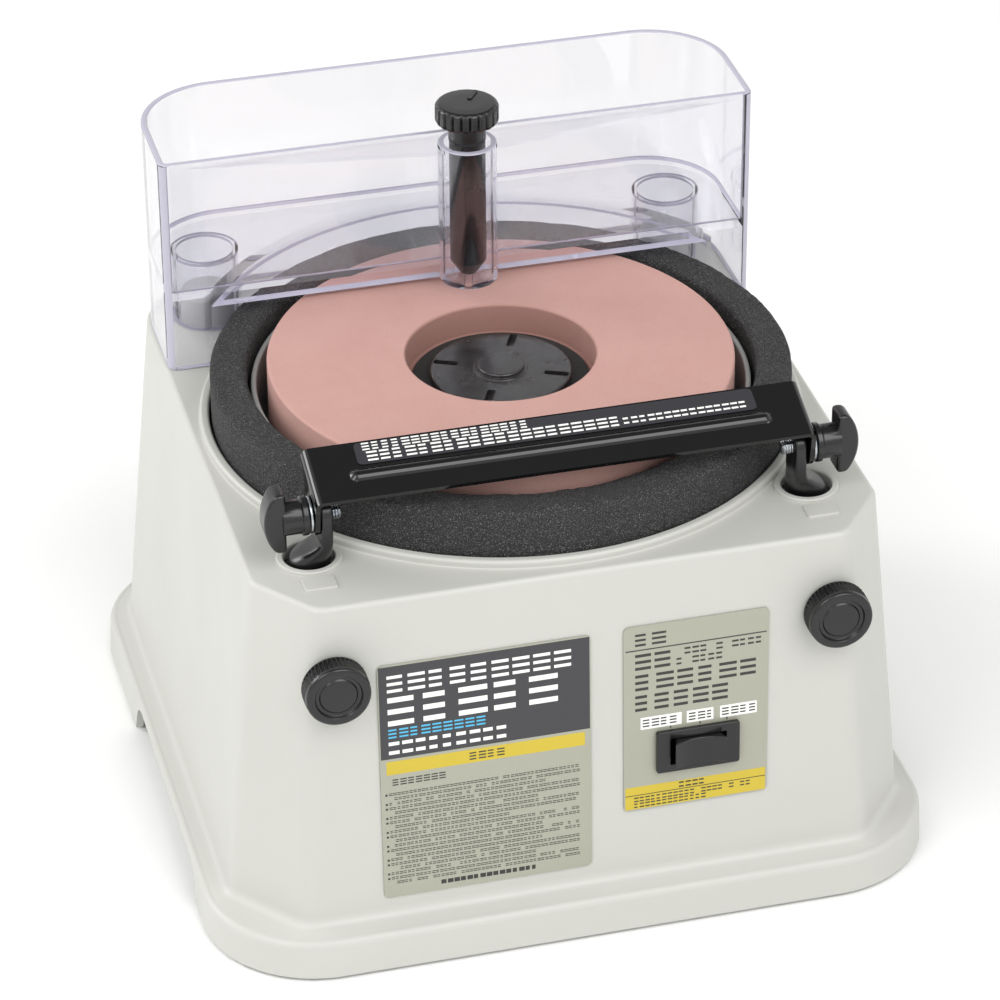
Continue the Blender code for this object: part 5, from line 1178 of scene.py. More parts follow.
# ---- Stone ------------
@dataclass
class StoneHead:
    """Ring stone, the rubber washer in its recess and the slotted lock nut."""

    radius: float = 0.090
    top: float = 0.1806
    thickness: float = 0.025
    recess_radius: float = 0.0367
    recess_depth: float = 0.0128
    bore: float = 0.0108
    edge: float = 0.0011
    washer_bore: float = 0.0105
    washer_radius: float = 0.0345
    washer_thickness: float = 0.0015
    nut_radius: float = 0.0275
    nut_thickness: float = 0.0035
    boss_radius: float = 0.009
    boss_height: float = 0.0020
    slot_size: Triple = (0.0095, 0.0030, 0.0024)
    slot_inset: float = 0.0010
    slot_corner: float = 0.0003
    slots: int = 4
    slot_turn: float = -26.0
    gap: float = 0.0003

    def build_stone(self) -> None:
        """Builds the stone with its worn edges and recess."""
        bottom, floor = self.top - self.thickness, self.top - self.recess_depth
        corners: list[Corner] = [
            (self.bore, bottom, 0.0005), (self.radius, bottom, self.edge),
            (self.radius, self.top, self.edge),
            (self.recess_radius, self.top, 0.0009), (self.recess_radius - 0.0004, floor, 0.0016),
            (self.bore, floor, 0.0004)]
        stone = turned("pink_ring_stone", filleted(corners, steps=6), 256)
        fitted(stone, Body.SPINDLE.value, Slot.PINK_STONE, "grinding_stone")

    def build_washer(self) -> None:
        """Builds the rubber washer under the nut."""
        low = self.top - self.recess_depth + self.gap
        profile = filleted([(self.washer_bore, low, 0), (self.washer_radius, low, 0.0003),
                            (self.washer_radius, low + self.washer_thickness, 0.0005),
                            (self.washer_bore, low + self.washer_thickness, 0)], steps=3)
        fitted(turned("rubber_stone_washer", profile, 96), Body.SPINDLE.value, Slot.RUBBER, "stone_washer")

    def slot_cutter(self, index: int, top: float) -> Mesh:
        """Cutter for one spanner slot near the nut's edge.

        Args:
            index: Which slot, counted round the nut.
            top: Height of the nut's flat face.

        Returns:
            The cutter.
        """
        length, width, depth = self.slot_size
        outer = self.nut_radius - self.slot_inset
        outline = rectangle(outer - length, -width / 2, outer, width / 2, self.slot_corner, steps=3)
        cutter = prism(f"nut_slot_{index}", outline, top - depth, top + 0.004)
        turn = math.radians(self.slot_turn) + TURN * index / self.slots
        return moved(cutter, Matrix.Rotation(turn, 4, "Z"))

    def build_nut(self) -> None:
        """Builds the lock nut: flat face, four slots near its edge and a round boss."""
        low = self.top - self.recess_depth + 2 * self.gap + self.washer_thickness
        top = low + self.nut_thickness
        boss_top = top + self.boss_height
        corners: list[Corner] = [
            (0, low, 0), (self.nut_radius, low, 0.0006), (self.nut_radius, top, 0.0009),
            (self.boss_radius + 0.0016, top, 0.0004), (self.boss_radius + 0.0012, top + 0.0004, 0.0003),
            (self.boss_radius + 0.0001, top + 0.0004, 0.0002), (self.boss_radius, boss_top, 0.0010),
            (0, boss_top + 0.0001, 0)]
        nut = turned("slotted_lock_nut", filleted(corners, closed=False, steps=4), 128)
        combined(nut, [self.slot_cutter(index, top) for index in range(self.slots)], "DIFFERENCE")
        fitted(nut, Body.STONE_NUT.value, Slot.BLACK_PLASTIC, "stone_lock_nut", finish=BLACK_PHENOLIC)

    def build(self) -> None:
        """Builds stone, washer and nut."""
        self.build_stone()
        self.build_washer()
        self.build_nut()


# ---- Drip tank ------------
@dataclass
class DripTank:
    """Clear tank on two hollow pillars, its valve tube at the front, and the drip valve.

    The cross hole has a radius and a height over the tank's floor. The pointer has half a width, then its
    far and near ends as shares of the knob's radius.
    """

    plan: Plan = Plan(0.119, 0.0599, 0.127, (0.0, 0.0), 0.004, 0.033)
    rim: float = 0.2468
    wall: float = 0.0025
    floor_top: float = 0.189
    floor_thickness: float = 0.003
    floor_fillet: float = 0.0015
    lip_bottom: float = 0.1828
    leg_bottom: float = 0.1565
    arc_radius: float = 0.120
    recess_turn: float = 2.67
    cross_hole: Pair = (0.004, 0.005)
    pillar_place: Pair = (0.0955, 0.101)
    pillar_radius: float = 0.0135
    pillar_wall: float = 0.002
    pillar_ring: float = 0.0012
    tube_y: float = 0.0494
    tube_radius: float = 0.0115
    tube_bore: float = 0.0092
    tube_bottom: float = 0.1870
    seat: float = 0.1895
    tip_bottom: float = 0.1833
    tip_radius: float = 0.0095
    outlet: float = 0.0016
    web_front: float = 0.0440
    web_nose: float = 0.0125
    web_thickness: float = 0.0020
    rim_round: float = 0.0009
    web_area: float = 0.0004
    stem_radius: float = 0.0071
    knob_radius: float = 0.0124
    knob_bottom: float = 0.2558
    knob_height: float = 0.0078
    flutes: int = 22
    flute_depth: float = 0.0008
    crown: float = 0.0016
    pointer: Triple = (0.0009, 0.80, 0.18)
    pointer_turn: float = 145.0

    def rounded_plan(self, inset: float) -> list[Pair]:
        """The tank's plan at an inset, with enough radius left to stay round.

        Args:
            inset: How far it is drawn in.

        Returns:
            The plan's points.
        """
        plan = self.plan.inset(inset)
        radius = max(plan.front_radius, 0.0008)
        return replace(plan, front_radius=radius).outline()

    def block(self) -> Mesh:
        """Outside of the tank, solid, with a rounded rim."""
        return cushion("clear_tank", self.rounded_plan, self.leg_bottom, self.rim, self.rim_round)

    def water_space(self) -> Mesh:
        """Cutter for the inside, with a fillet at the floor and a flared mouth."""
        levels = [(self.wall + self.floor_fillet * (1 - upward), self.floor_top + self.floor_fillet * inward)
                  for inward, upward in quarter(4)]
        levels += [(self.wall - self.rim_round * inward, self.rim - self.rim_round * (1 - upward))
                   for inward, upward in quarter(4)]
        levels.append((self.wall - self.rim_round, self.rim + 0.004))
        return stacked("water_space", [(self.rounded_plan(inset), height) for inset, height in levels])

    def arc_start(self) -> float:
        """Degrees round the spindle at which the arc skirt meets the front wall."""
        return math.degrees(math.asin((self.plan.front + self.wall) / self.arc_radius))

    def leg_space(self) -> Mesh:
        """Cutter under the floor, between the outer walls and the arc skirt."""
        front, start = self.plan.front + self.wall, self.arc_start()
        inner = [point for point in self.rounded_plan(self.wall) if point[1] > front + 0.002]
        right = sorted((p for p in inner if p[0] > 0), key=lambda p: math.atan2(p[1] - 0.09, p[0]))
        left = [(-x, y) for x, y in reversed(right)]
        corner = self.plan.half_width - self.wall
        arc_x = self.arc_radius * math.cos(math.radians(start))
        skirt = arc(self.arc_radius, 180 - start, start, 72)
        outline = [(arc_x + 0.001, front), (corner, front), *right, *left, (-corner, front),
                   (-arc_x - 0.001, front), *skirt[1:-1]]
        return prism("leg_space", outline, self.leg_bottom - 0.01, self.floor_top - self.floor_thickness)

    def tube(self) -> Mesh:
        """Outside of the valve tube with its pointed drip tip."""
        corners: list[Corner] = [
            (0, self.tip_bottom, 0), (self.tip_radius, self.tube_bottom, 0.0008),
            (self.tube_radius, self.tube_bottom + 0.0006, 0.0008), (self.tube_radius, self.rim, 0.0006),
            (0, self.rim, 0)]
        return turned("valve_tube", filleted(corners, closed=False), 96, (0, self.tube_y))

    def web(self) -> Mesh:
        """Thin shelf at the rim from the front wall to the tube."""
        reach, inside = self.plan.half_width - self.plan.front_radius, self.plan.front + self.wall / 2
        outline = filleted([(-reach, inside, 0), (-reach, self.plan.front, 0),
                            (-self.web_nose, self.web_front, 0.004), (self.web_nose, self.web_front, 0.004),
                            (reach, self.plan.front, 0), (reach, inside, 0)])
        return prism("rim_web", outline, self.rim - self.web_thickness, self.rim - 0.0003)

    def build_tank(self) -> None:
        """Builds the clear tank as one hollow moulding."""
        under, inner_arc = self.floor_top - self.floor_thickness, self.arc_radius - self.wall
        start = self.arc_start() + self.recess_turn
        tank = combined(self.block(), [
            self.water_space(), self.leg_space(),
            rod("foam_clearance", inner_arc, self.leg_bottom - 0.01, self.lip_bottom, 192),
            prism("floor_recess", arc(inner_arc - self.wall, start, 180 - start, 64),
                  self.lip_bottom - 0.002, under)], "DIFFERENCE")
        pillars = [turned(f"pillar_{side.word}", [
            (self.pillar_radius - self.pillar_wall, self.leg_bottom), (self.pillar_radius, self.leg_bottom),
            (self.pillar_radius, under - self.pillar_ring), (self.pillar_radius, under + 0.001),
            (self.pillar_radius - self.pillar_wall, under + 0.001),
            (self.pillar_radius - self.pillar_wall, under - self.pillar_ring)],
            72, (side.value * self.pillar_place[0], self.pillar_place[1])) for side in Side]
        combined(tank, [*pillars, self.web(), self.tube()], "UNION")
        cross_radius, cross_rise = self.cross_hole
        cross_end = (0, self.plan.front + self.wall + 0.004, self.floor_top + cross_rise)
        cross = moved(rod("cross_hole", cross_radius, 0, self.wall + 0.008, 32),
                      Matrix.Translation(cross_end) @ Matrix.Rotation(QUARTER, 4, "X"))
        tube = (0, self.tube_y)
        combined(tank, [rod("tube_bore", self.tube_bore, self.seat, self.rim + 0.01, 96, tube), cross,
                        rod("outlet", self.outlet, self.tip_bottom - 0.002, self.seat + 0.002, 24, tube)],
                 "DIFFERENCE")
        fitted(tank, Body.TANK.value, Slot.CLEAR_TANK, "water_tank")
        self.paint_edge_light(tank)

    def paint_edge_light(self, tank: Mesh) -> None:
        """Paints the rim, feet, lip, floor border, front corners and pillar tops in the opaque milky edge
        colour, painted light in place of the light the clear edges bend and reflect.

        Args:
            tank: The fitted tank, already on the spindle axis.
        """
        # Painted light: the faces picked below take the opaque lilac-grey edge colour instead of the clear
        # plastic.
        tank.data.materials.append(STYRENE_PAINTED_EDGE_LIGHT.material())
        under = self.floor_top - self.floor_thickness
        for face in tank.data.polygons:
            # How far the face looks up: one at the sky, minus one at the bench.
            height, up = face.center.z, face.normal.z
            on_rim = height > self.rim - self.rim_round and up > 0.3 and face.area < self.web_area
            below = up < -0.9 and height < self.lip_bottom + 0.0002
            border = self.floor_top < height < self.floor_top + 0.0016 and 0.05 < up < 0.98
            turn = abs(face.normal.x) > 0.3 and abs(face.normal.y) > 0.3 and abs(up) < 0.1
            corner = turn and face.center.y < AXIS.y + self.plan.front + self.plan.front_radius
            place = Vector((abs(face.center.x), face.center.y - AXIS.y)) - Vector(self.pillar_place)
            ring = place.length < self.pillar_radius * 1.02 and under - self.pillar_ring < height < under
            if on_rim or below or border or ring or corner and abs(face.center.x) > self.arc_radius * 0.9:
                face.material_index = 1

    def build_stem(self) -> None:
        """Builds the dark stem that shows through the tube."""
        top = self.knob_bottom - 0.0003
        corners: list[Corner] = [
            (0, self.seat + 0.0003, 0), (self.stem_radius * 0.45, self.seat + 0.0003, 0.0005),
            (self.stem_radius, self.seat + 0.0063, 0.001), (self.stem_radius, self.rim + 0.001, 0),
            (self.stem_radius + 0.0002, self.rim + 0.0014, 0), (self.stem_radius + 0.0002, top, 0.0004),
            (0, top, 0)]
        stem = turned("valve_stem_rod", filleted(corners, closed=False, steps=4), 72, (0, self.tube_y))
        fitted(stem, Body.VALVE_STEM.value, Slot.BLACK_PLASTIC, "valve_stem")

    def build_knob(self) -> None:
        """Builds the fluted knob with its raised pointer."""
        top = self.knob_bottom + self.knob_height
        crown = top - self.crown

        def fluted(radius: float, height: float, angle: float) -> float:
            """Wide ridges with narrow grooves between them, fading at the crown.

            Args:
                radius: Plain radius.
                height: Height on the knob.
                angle: Angle round it.

            Returns:
                The radius with the grooves cut.
            """
            groove = max(0.0, math.cos(self.flutes * angle)) ** 3
            fade = 1.0 if height < crown else max(0.0, 1 - (height - crown) / self.crown)
            return radius - self.flute_depth * groove * fade * min(1.0, radius / (self.knob_radius * 0.8))

        corners: list[Corner] = [
            (0, self.knob_bottom, 0), (self.knob_radius - 0.0006, self.knob_bottom, 0.0004),
            (self.knob_radius, self.knob_bottom + 0.0012, 0.0006), (self.knob_radius, top, 0.0020),
            (self.knob_radius * 0.55, top + 0.0001, 0.001), (0, top + 0.0001, 0)]
        knob = turned("fluted_valve_knob", filleted(corners, closed=False, steps=6), self.flutes * 14,
                      (0, self.tube_y), fluted)
        half, far, near = self.pointer
        outline = rectangle(-half, -self.knob_radius * far, half, -self.knob_radius * near, 0.0006, steps=4)
        pointer = moved(prism("knob_pointer", outline, top - 0.0005, top + 0.0006),
                        Matrix.Translation((0, self.tube_y, 0))
                        @ Matrix.Rotation(math.radians(self.pointer_turn), 4, "Z"))
        combined(knob, [pointer], "UNION")
        fitted(knob, Body.VALVE_KNOB.value, Slot.BLACK_PLASTIC, "valve_knob")

    def build(self) -> None:
        """Builds tank, stem and knob."""
        self.build_tank()
        self.build_stem()
        self.build_knob()


# ---- Printed plates ------------
@dataclass
class Print:
    """Ink marks on a flat plate: plain bars in the places where a plate carries its print."""

    name: str
    place: Matrix
    face: float
    body: Body
    marks: dict[str, list[tuple[float, float, float, float, int]]] = field(default_factory=dict)
    layer: float = 0.00003
    sunk: float = 0.00001
    seed: int = 7

    def bar(self, ink: str, left: float, low: float, right: float, high: float, layer: int = 1) -> None:
        """Adds one bar of an ink.

        Args:
            ink: Name of the ink.
            left: Left edge on the plate.
            low: Lower edge.
            right: Right edge.
            high: Upper edge.
            layer: How many ink layers up it lies.
        """
        self.marks.setdefault(ink, []).append((left, low, right, high, layer))

    def row(self, ink: str, left: float, right: float, low: float, height: float, strokes: int = 3,
            layer: int = 2, cell: float = 0.9, gaps: float = 0.0) -> None:
        """Adds a row of small stroke groups, which fills a line without spelling anything.

        Args:
            ink: Name of the ink.
            left: Left end of the row.
            right: Right end of the row.
            low: Lower edge.
            height: Height of the row.
            strokes: Level strokes in each group.
            layer: Ink layer.
            cell: Width of a group as a share of the height.
            gaps: Chance that a group is left out.
        """
        draw = random.Random(self.seed * 1000 + int(low * 1e5) % 997 + strokes)
        pitch = height * (cell + 0.20)
        at = left
        while at + height * cell * 0.6 < right:
            width = min(height * cell, right - at)
            if draw.random() >= gaps:
                thick = height / (2 * strokes - 0.4) if strokes > 1 else height
                end = at + width * draw.choice((1.0, 1.0, 0.9, 0.75))
                for index in range(strokes):
                    base = low + (height - thick) * (index / (strokes - 1) if strokes > 1 else 0)
                    self.bar(ink, at, base, end, base + thick, layer)
            at += pitch

    def build(self, inks: dict[str, Finish]) -> None:
        """Makes one thin mesh per ink.

        Args:
            inks: Finish of each ink.
        """
        for ink, bars in self.marks.items():
            shape = bmesh.new()
            for left, low, right, high, layer in bars:
                near, far = self.face - self.sunk, self.face + self.layer * layer
                corners = [(left, low), (right, low), (right, high), (left, high)]
                rings = [[shape.verts.new(self.place @ Vector((x, -depth, z))) for x, z in corners]
                         for depth in (near, far)]
                shape.faces.new(rings[0])
                shape.faces.new(rings[1])
                for step in range(4):
                    after = (step + 1) % 4
                    shape.faces.new((rings[0][step], rings[0][after], rings[1][after], rings[1][step]))
            piece = finished(shape, f"{self.name}_{ink}")
            fitted(piece, self.body.value, Slot.LABEL_PRINT, finish=inks[ink])


INKS = {"white": WHITE_INK, "black": BLACK_INK, "yellow": YELLOW_INK, "cyan": CYAN_INK,
        "charcoal": CHARCOAL_FILM, "khaki": KHAKI_FILM}


@dataclass
class FrontPlates:
    """The two printed plates on the front wall."""

    cabinet: Cabinet
    notice: Quad = (-0.0795, 0.0013, 0.0270, 0.1290)
    use: Quad = (0.0139, 0.0702, 0.0485, 0.1295)
    thickness: float = 0.0003
    gap: float = 0.0003
    corner: float = 0.0022
    window: Quad = (0.0425, 0.0738, 0.0151, 0.0081)

    def wall_place(self, height: float) -> Matrix:
        """From upright at y = 0 onto the leaning front wall at a height."""
        return (Matrix.Translation((0, self.cabinet.front_wall(height), height))
                @ Matrix.Rotation(-self.cabinet.slope, 4, "X"))

    def plate(self, name: str, limits: Quad) -> Mesh:
        """A thin plate with rounded corners, on the wall.

        Args:
            name: Object name.
            limits: Left, right, low and high on the wall.

        Returns:
            The plate.
        """
        left, right, low, high = limits
        half = (high - low) / 2
        outline = rectangle(left, -half, right, half, self.corner)
        return moved(slab(name, outline, -self.gap - self.thickness, -self.gap),
                     self.wall_place((low + high) / 2))

    def build_notice(self) -> None:
        """Builds the large plate: charcoal head, yellow band and a field of fine rows."""
        left, right, low, high = self.notice
        fitted(self.plate("notice_plate", self.notice), Body.CABINET.value, Slot.LABEL_PRINT, "notice_label")
        half, edge = (high - low) / 2, 0.0035
        art = Print("notice", self.wall_place((low + high) / 2), self.gap + self.thickness, Body.CABINET,
                    seed=3)
        split = half - 0.0405
        art.bar("charcoal", left + 0.0004, split, right - 0.0004, half - 0.0006)
        art.row("white", left + edge, right - 0.0060, half - 0.0118, 0.0072)
        art.row("white", left + edge, right - 0.0040, half - 0.0262, 0.0122)
        art.row("cyan", left + edge, left + 0.041, half - 0.0315, 0.0038)
        art.row("white", left + edge, left + 0.051, half - 0.0386, 0.0054, strokes=2, cell=0.75)
        art.bar("yellow", left + 0.0024, split - 0.0070, right - 0.0024, split - 0.0012)
        art.row("black", left + 0.034, left + 0.048, split - 0.0057, 0.0032, strokes=3)
        art.row("black", left + edge + 0.001, left + 0.026, split - 0.0118, 0.0027, strokes=3)
        rows, field_top = 20, split - 0.0140
        pitch = (field_top + half - 0.0060) / rows
        draw = random.Random(11)
        for index in range(rows):
            base = field_top - pitch * (index + 1)
            starts = index % 3 != 1
            begin = left + (0.0030 if starts else 0.0050)
            end = right - (0.0040 if index % 3 != 2 else 0.0040 + 0.030 * draw.random())
            art.row("black", begin, end, base, pitch * 0.50, strokes=2, cell=1.3, gaps=0.06)
            if starts:
                art.bar("black", left + 0.0016, base, left + 0.0016 + pitch * 0.4, base + pitch * 0.4, 2)
        art.row("black", left + 0.022, right - 0.022, -half + 0.0026, 0.0018, strokes=1, cell=1.2)
        art.build(INKS)

    def build_use(self) -> None:
        """Builds the small plate round the switch."""
        left, right, low, high = self.use
        plate = self.plate("switch_plate", self.use)
        x, z, half_x, half_z = self.window
        hole = slab("plate_window", rectangle(x - half_x, z - half_z, x + half_x, z + half_z),
                    self.cabinet.front_wall(z) - 0.005, self.cabinet.front_wall(z) + 0.003)
        combined(plate, [hole], "DIFFERENCE")
        fitted(plate, Body.CABINET.value, Slot.LABEL_PRINT, "use_label")
        half = (high - low) / 2
        middle = (low + high) / 2
        art = Print("switch", self.wall_place(middle), self.gap + self.thickness, Body.CABINET, seed=5)
        art.row("black", left + 0.0045, left + 0.0180, half - 0.0086, 0.0052, cell=1.05)
        art.bar("black", left + 0.0008, half - 0.0106, right - 0.0008, half - 0.0101)
        art.row("black", left + 0.0045, left + 0.0195, half - 0.0190, 0.0068)
        art.row("black", left + 0.0205, right - 0.0030, half - 0.0148, 0.0028, strokes=2, gaps=0.2)
        art.row("black", left + 0.0205, right - 0.0150, half - 0.0190, 0.0028, strokes=2, gaps=0.2)
        art.row("black", left + 0.0045, right - 0.0035, half - 0.0280, 0.0068, cell=1.0)
        art.row("black", left + 0.0045, right - 0.0120, half - 0.0370, 0.0068)
        base, rise = z - middle + 0.0104, 0.0052
        tags = ((-0.0220, -0.0060, -0.0105), (-0.0040, 0.0064, 0.0010), (0.0090, 0.0234, 0.0115))
        for start, end, lead in tags:
            art.bar("white", x + start, base, x + end, base + rise)
            art.row("black", x + start + 0.0008, x + end - 0.0004, base + 0.0010, 0.0032, layer=3)
            art.bar("black", x + lead, base - 0.0012, x + lead + 0.0004, base, 2)
        art.bar("yellow", left + 0.0006, -half + 0.0006, right - 0.0006, -half + 0.0105)
        art.bar("black", left + 0.0006, -half + 0.0066, right - 0.0006, -half + 0.0069, 2)
        art.row("black", x - 0.007, x + 0.003, -half + 0.0075, 0.0024, strokes=2)
        art.row("black", left + 0.004, right - 0.006, -half + 0.0038, 0.0020, strokes=2, gaps=0.05)
        art.row("black", left + 0.004, right - 0.024, -half + 0.0012, 0.0020, strokes=2, gaps=0.05)
        art.build(INKS)

    def build(self) -> None:
        """Builds both plates with their print."""
        self.build_notice()
        self.build_use()


# ---- Switch ------------
@dataclass
class RockerSwitch:
    """Snap-in rocker switch with a dished, three-place rocker."""

    plates: FrontPlates
    centre: Pair = (0.0425, 0.0738)
    bezel: Pair = (0.0325, 0.0180)
    bezel_depth: float = 0.0020
    shank: Pair = (0.0285, 0.0145)
    shank_depth: float = 0.024
    pocket: Pair = (0.0221, 0.0116)
    pocket_depth: float = 0.0070
    rocker: Pair = (0.0205, 0.0110)
    keel: Pair = (0.68, 0.0035)
    dish_steps: int = 16
    proud: float = 0.0042
    dip: float = 0.0026

    def upright(self, name: str, size: Pair, near: float, far: float, radius: float = 0.0) -> Mesh:
        """Block with rounded corners that stands square to the wall.

        Args:
            name: Object name.
            size: Width and height.
            near: Outer depth.
            far: Inner depth.
            radius: Corner radius.

        Returns:
            The block, round x = 0.
        """
        half_x, half_z = size[0] / 2, size[1] / 2
        return slab(name, rectangle(-half_x, -half_z, half_x, half_z, radius, steps=4), near, far)

    def on_wall(self, piece: Mesh) -> Mesh:
        """Moves a piece made round x = 0 onto the switch's place."""
        x, height = self.centre
        return moved(piece, self.plates.wall_place(height) @ Matrix.Translation((x, 0, 0)))

    def build(self) -> None:
        """Builds the housing and the rocker."""
        back = -(2 * self.plates.gap + self.plates.thickness)
        face = back - self.bezel_depth
        housing = bevelled(self.upright("switch_bezel", self.bezel, face, back, 0.0010), 0.0004)
        shank = self.upright("shank", self.shank, back - self.bezel_depth / 2, self.shank_depth)
        combined(housing, [shank], "UNION")
        pocket = self.upright("pocket", self.pocket, face - 0.002, self.pocket_depth, 0.0005)
        combined(housing, [pocket], "DIFFERENCE")
        fitted(self.on_wall(housing), Body.CABINET.value, Slot.BLACK_PLASTIC, "switch_housing")
        half = self.rocker[0] / 2
        outline = [(-half, face - self.proud)]
        for step in range(1, self.dish_steps):
            share = step / self.dish_steps
            dish = self.dip * math.sin(math.pi * share) ** 0.9
            outline.append((-half + self.rocker[0] * share, face - self.proud + dish))
        keel, depth = self.keel
        outline += [(half, face - self.proud), (half * keel, depth), (-half * keel, depth)]
        rocker = prism("switch_rocker_cap", outline, -self.rocker[1] / 2, self.rocker[1] / 2)
        bevelled(rocker, 0.0005)
        fitted(self.on_wall(rocker), Body.ROCKER.value, Slot.BLACK_PLASTIC, "switch_rocker")


# ---- Rest bar and its clamps ------------
@dataclass
class ClampAxis:
    """Where the rest bar turns on its two clamp screws."""

    y: float = -0.0900
    z: float = 0.1770
    bar_half: float = 0.0950
    gauge: float = 0.0018
    gap: float = 0.0003
    hole: float = 0.0033
    washer: float = 0.001

    @property
    def hub_inner(self) -> float:
        """Distance from the middle to the wing screw's inner face, past the washer."""
        return self.bar_half + 2 * self.gap + self.washer

    def end(self, side: Side, reach: float) -> Matrix:
        """From a shape made along +Z to one that points outwards on a side."""
        return (Matrix.Translation((side.value * reach, self.y, self.z))
                @ Matrix.Rotation(side.value * QUARTER, 4, "Y"))


@dataclass
class RestBar:
    """Pressed and enamelled bar with two ears, a long bead and a printed strip."""

    axis: ClampAxis
    tilt: float = 20.0
    front: float = -0.0059
    rear: float = 0.0201
    top: float = 0.0129
    ear_radius: float = 0.0078
    bend: float = 0.0034
    bead_centre: float = 0.0046
    bead_width: float = 0.0052
    bead_height: float = 0.0015
    bead_half: float = 0.0800
    strip_half: float = 0.0760
    strip_corner: float = 0.0018
    across_steps: int = 56
    along_steps: int = 190

    @property
    def place(self) -> Matrix:
        """From the bar's own level frame to where it stands."""
        return (Matrix.Translation((0, self.axis.y, self.axis.z))
                @ Matrix.Rotation(math.radians(self.tilt), 4, "X"))

    def stations(self) -> list[Quad]:
        """Along the bar's outer face from ear to ear: across x, height, outward x and outward z."""
        half, flat = self.axis.bar_half, self.axis.bar_half - self.bend
        right = []
        for step in range(25):
            angle = math.pi * step / 24
            right.append((half, -self.ear_radius * math.cos(angle / 2), 1.0, 0.0))
        knee = self.top - self.bend
        for step in range(1, 9):
            right.append((half, knee * step / 8, 1.0, 0.0))
        for step in range(1, 11):
            angle = QUARTER * step / 10
            right.append((flat + self.bend * math.cos(angle), knee + self.bend * math.sin(angle),
                          math.cos(angle), math.sin(angle)))
        middle = [(flat - 2 * flat * step / self.along_steps, self.top, 0.0, 1.0)
                  for step in range(1, self.along_steps)]
        left = [(-x, z, -nx, nz) for x, z, nx, nz in reversed(right)]
        return right + middle + left

    def limits(self, height: float) -> Pair:
        """Where the sheet's edges run.

        Args:
            height: Height over the clamp screws.

        Returns:
            Its front and rear edge there.
        """
        if height >= self.top - self.bend:
            return self.front, self.rear
        if height > 0:
            share = height / (self.top - self.bend)
            return (-self.ear_radius + (self.front + self.ear_radius) * share,
                    self.ear_radius + (self.rear - self.ear_radius) * share)
        chord = math.sqrt(max(self.ear_radius ** 2 - height ** 2, 1e-9))
        return -chord, chord

    def bead(self, x: float, across: float) -> float:
        """Rise of the pressed bead.

        Args:
            x: Place along the bar.
            across: Place across it.

        Returns:
            The bead's height there, or zero beside it.
        """
        off = max(0.0, abs(x) - (self.bead_half - self.bead_width / 2))
        distance = math.hypot(off, across - self.bead_centre) / (self.bead_width / 2)
        return self.bead_height * math.cos(QUARTER * distance) ** 0.7 if distance < 1 else 0.0

    def sheet(self) -> Mesh:
        """The bar's outer face as one bent sheet, thickened inwards."""
        rows = []
        for x, z, nx, nz in self.stations():
            front, rear = self.limits(z)
            row = []
            for step in range(self.across_steps + 1):
                across = front + (rear - front) * step / self.across_steps
                rise = self.bead(x, across) if nz == 1.0 else 0.0
                row.append((x, across, z + rise))
            rows.append(row)
        bar = lofted("enamelled_rest_bar", rows, closed_rings=False)
        if bar.data.polygons[len(bar.data.polygons) // 2].normal.z < 0:
            bar.data.flip_normals()
        solid = bar.modifiers.new("gauge", "SOLIDIFY")
        solid.thickness = self.axis.gauge
        solid.offset = -1.0
        solid.use_even_offset = True
        bpy.context.view_layer.update()
        return baked(bar)

    def build(self) -> None:
        """Builds the bar and its printed strip."""
        bar = self.sheet()
        ear = self.axis.bar_half - self.axis.gauge / 2
        holes = [moved(rod(f"ear_hole_{side.word}", self.axis.hole, -0.006, 0.006, 40),
                       Matrix.Translation((side.value * ear, 0, 0)) @ Matrix.Rotation(QUARTER, 4, "Y"))
                 for side in Side]
        combined(bar, holes, "DIFFERENCE")
        bevelled(bar, 0.00035, segments=2, angle=50)
        fitted(moved(bar, self.place), Body.REST_BAR.value, Slot.BLACK_ENAMEL, "tool_rest_bar")
        self.build_strip()

    def build_strip(self) -> None:
        """Builds the charcoal strip behind the bead, with its rows of marks."""
        low, high = self.bead_centre + self.bead_width / 2 + 0.0018, self.rear - 0.0010
        face = self.top + 0.0003
        outline = rectangle(-self.strip_half, low, self.strip_half, high, self.strip_corner)
        strip = prism("bar_strip", outline, self.top + 0.0002, face + 0.0001)
        fitted(moved(strip, self.place), Body.REST_BAR.value, Slot.LABEL_PRINT, "rest_bar_label",
               finish=CHARCOAL_FILM)
        lay_flat = Matrix(((1, 0, 0, 0), (0, 0, 1, 0), (0, -1, 0, 0), (0, 0, 0, 1)))
        art = Print("bar_marks", self.place @ lay_flat, face + 0.0001, Body.REST_BAR, seed=9)
        left = -self.strip_half
        art.row("white", left + 0.003, left + 0.066, low + 0.0064, 0.0034, strokes=3)
        art.row("white", left + 0.004, left + 0.099, low + 0.0012, 0.0044, strokes=3)
        art.row("white", left + 0.101, self.strip_half - 0.003, low + 0.0016, 0.0029, strokes=2)
        art.build(INKS)


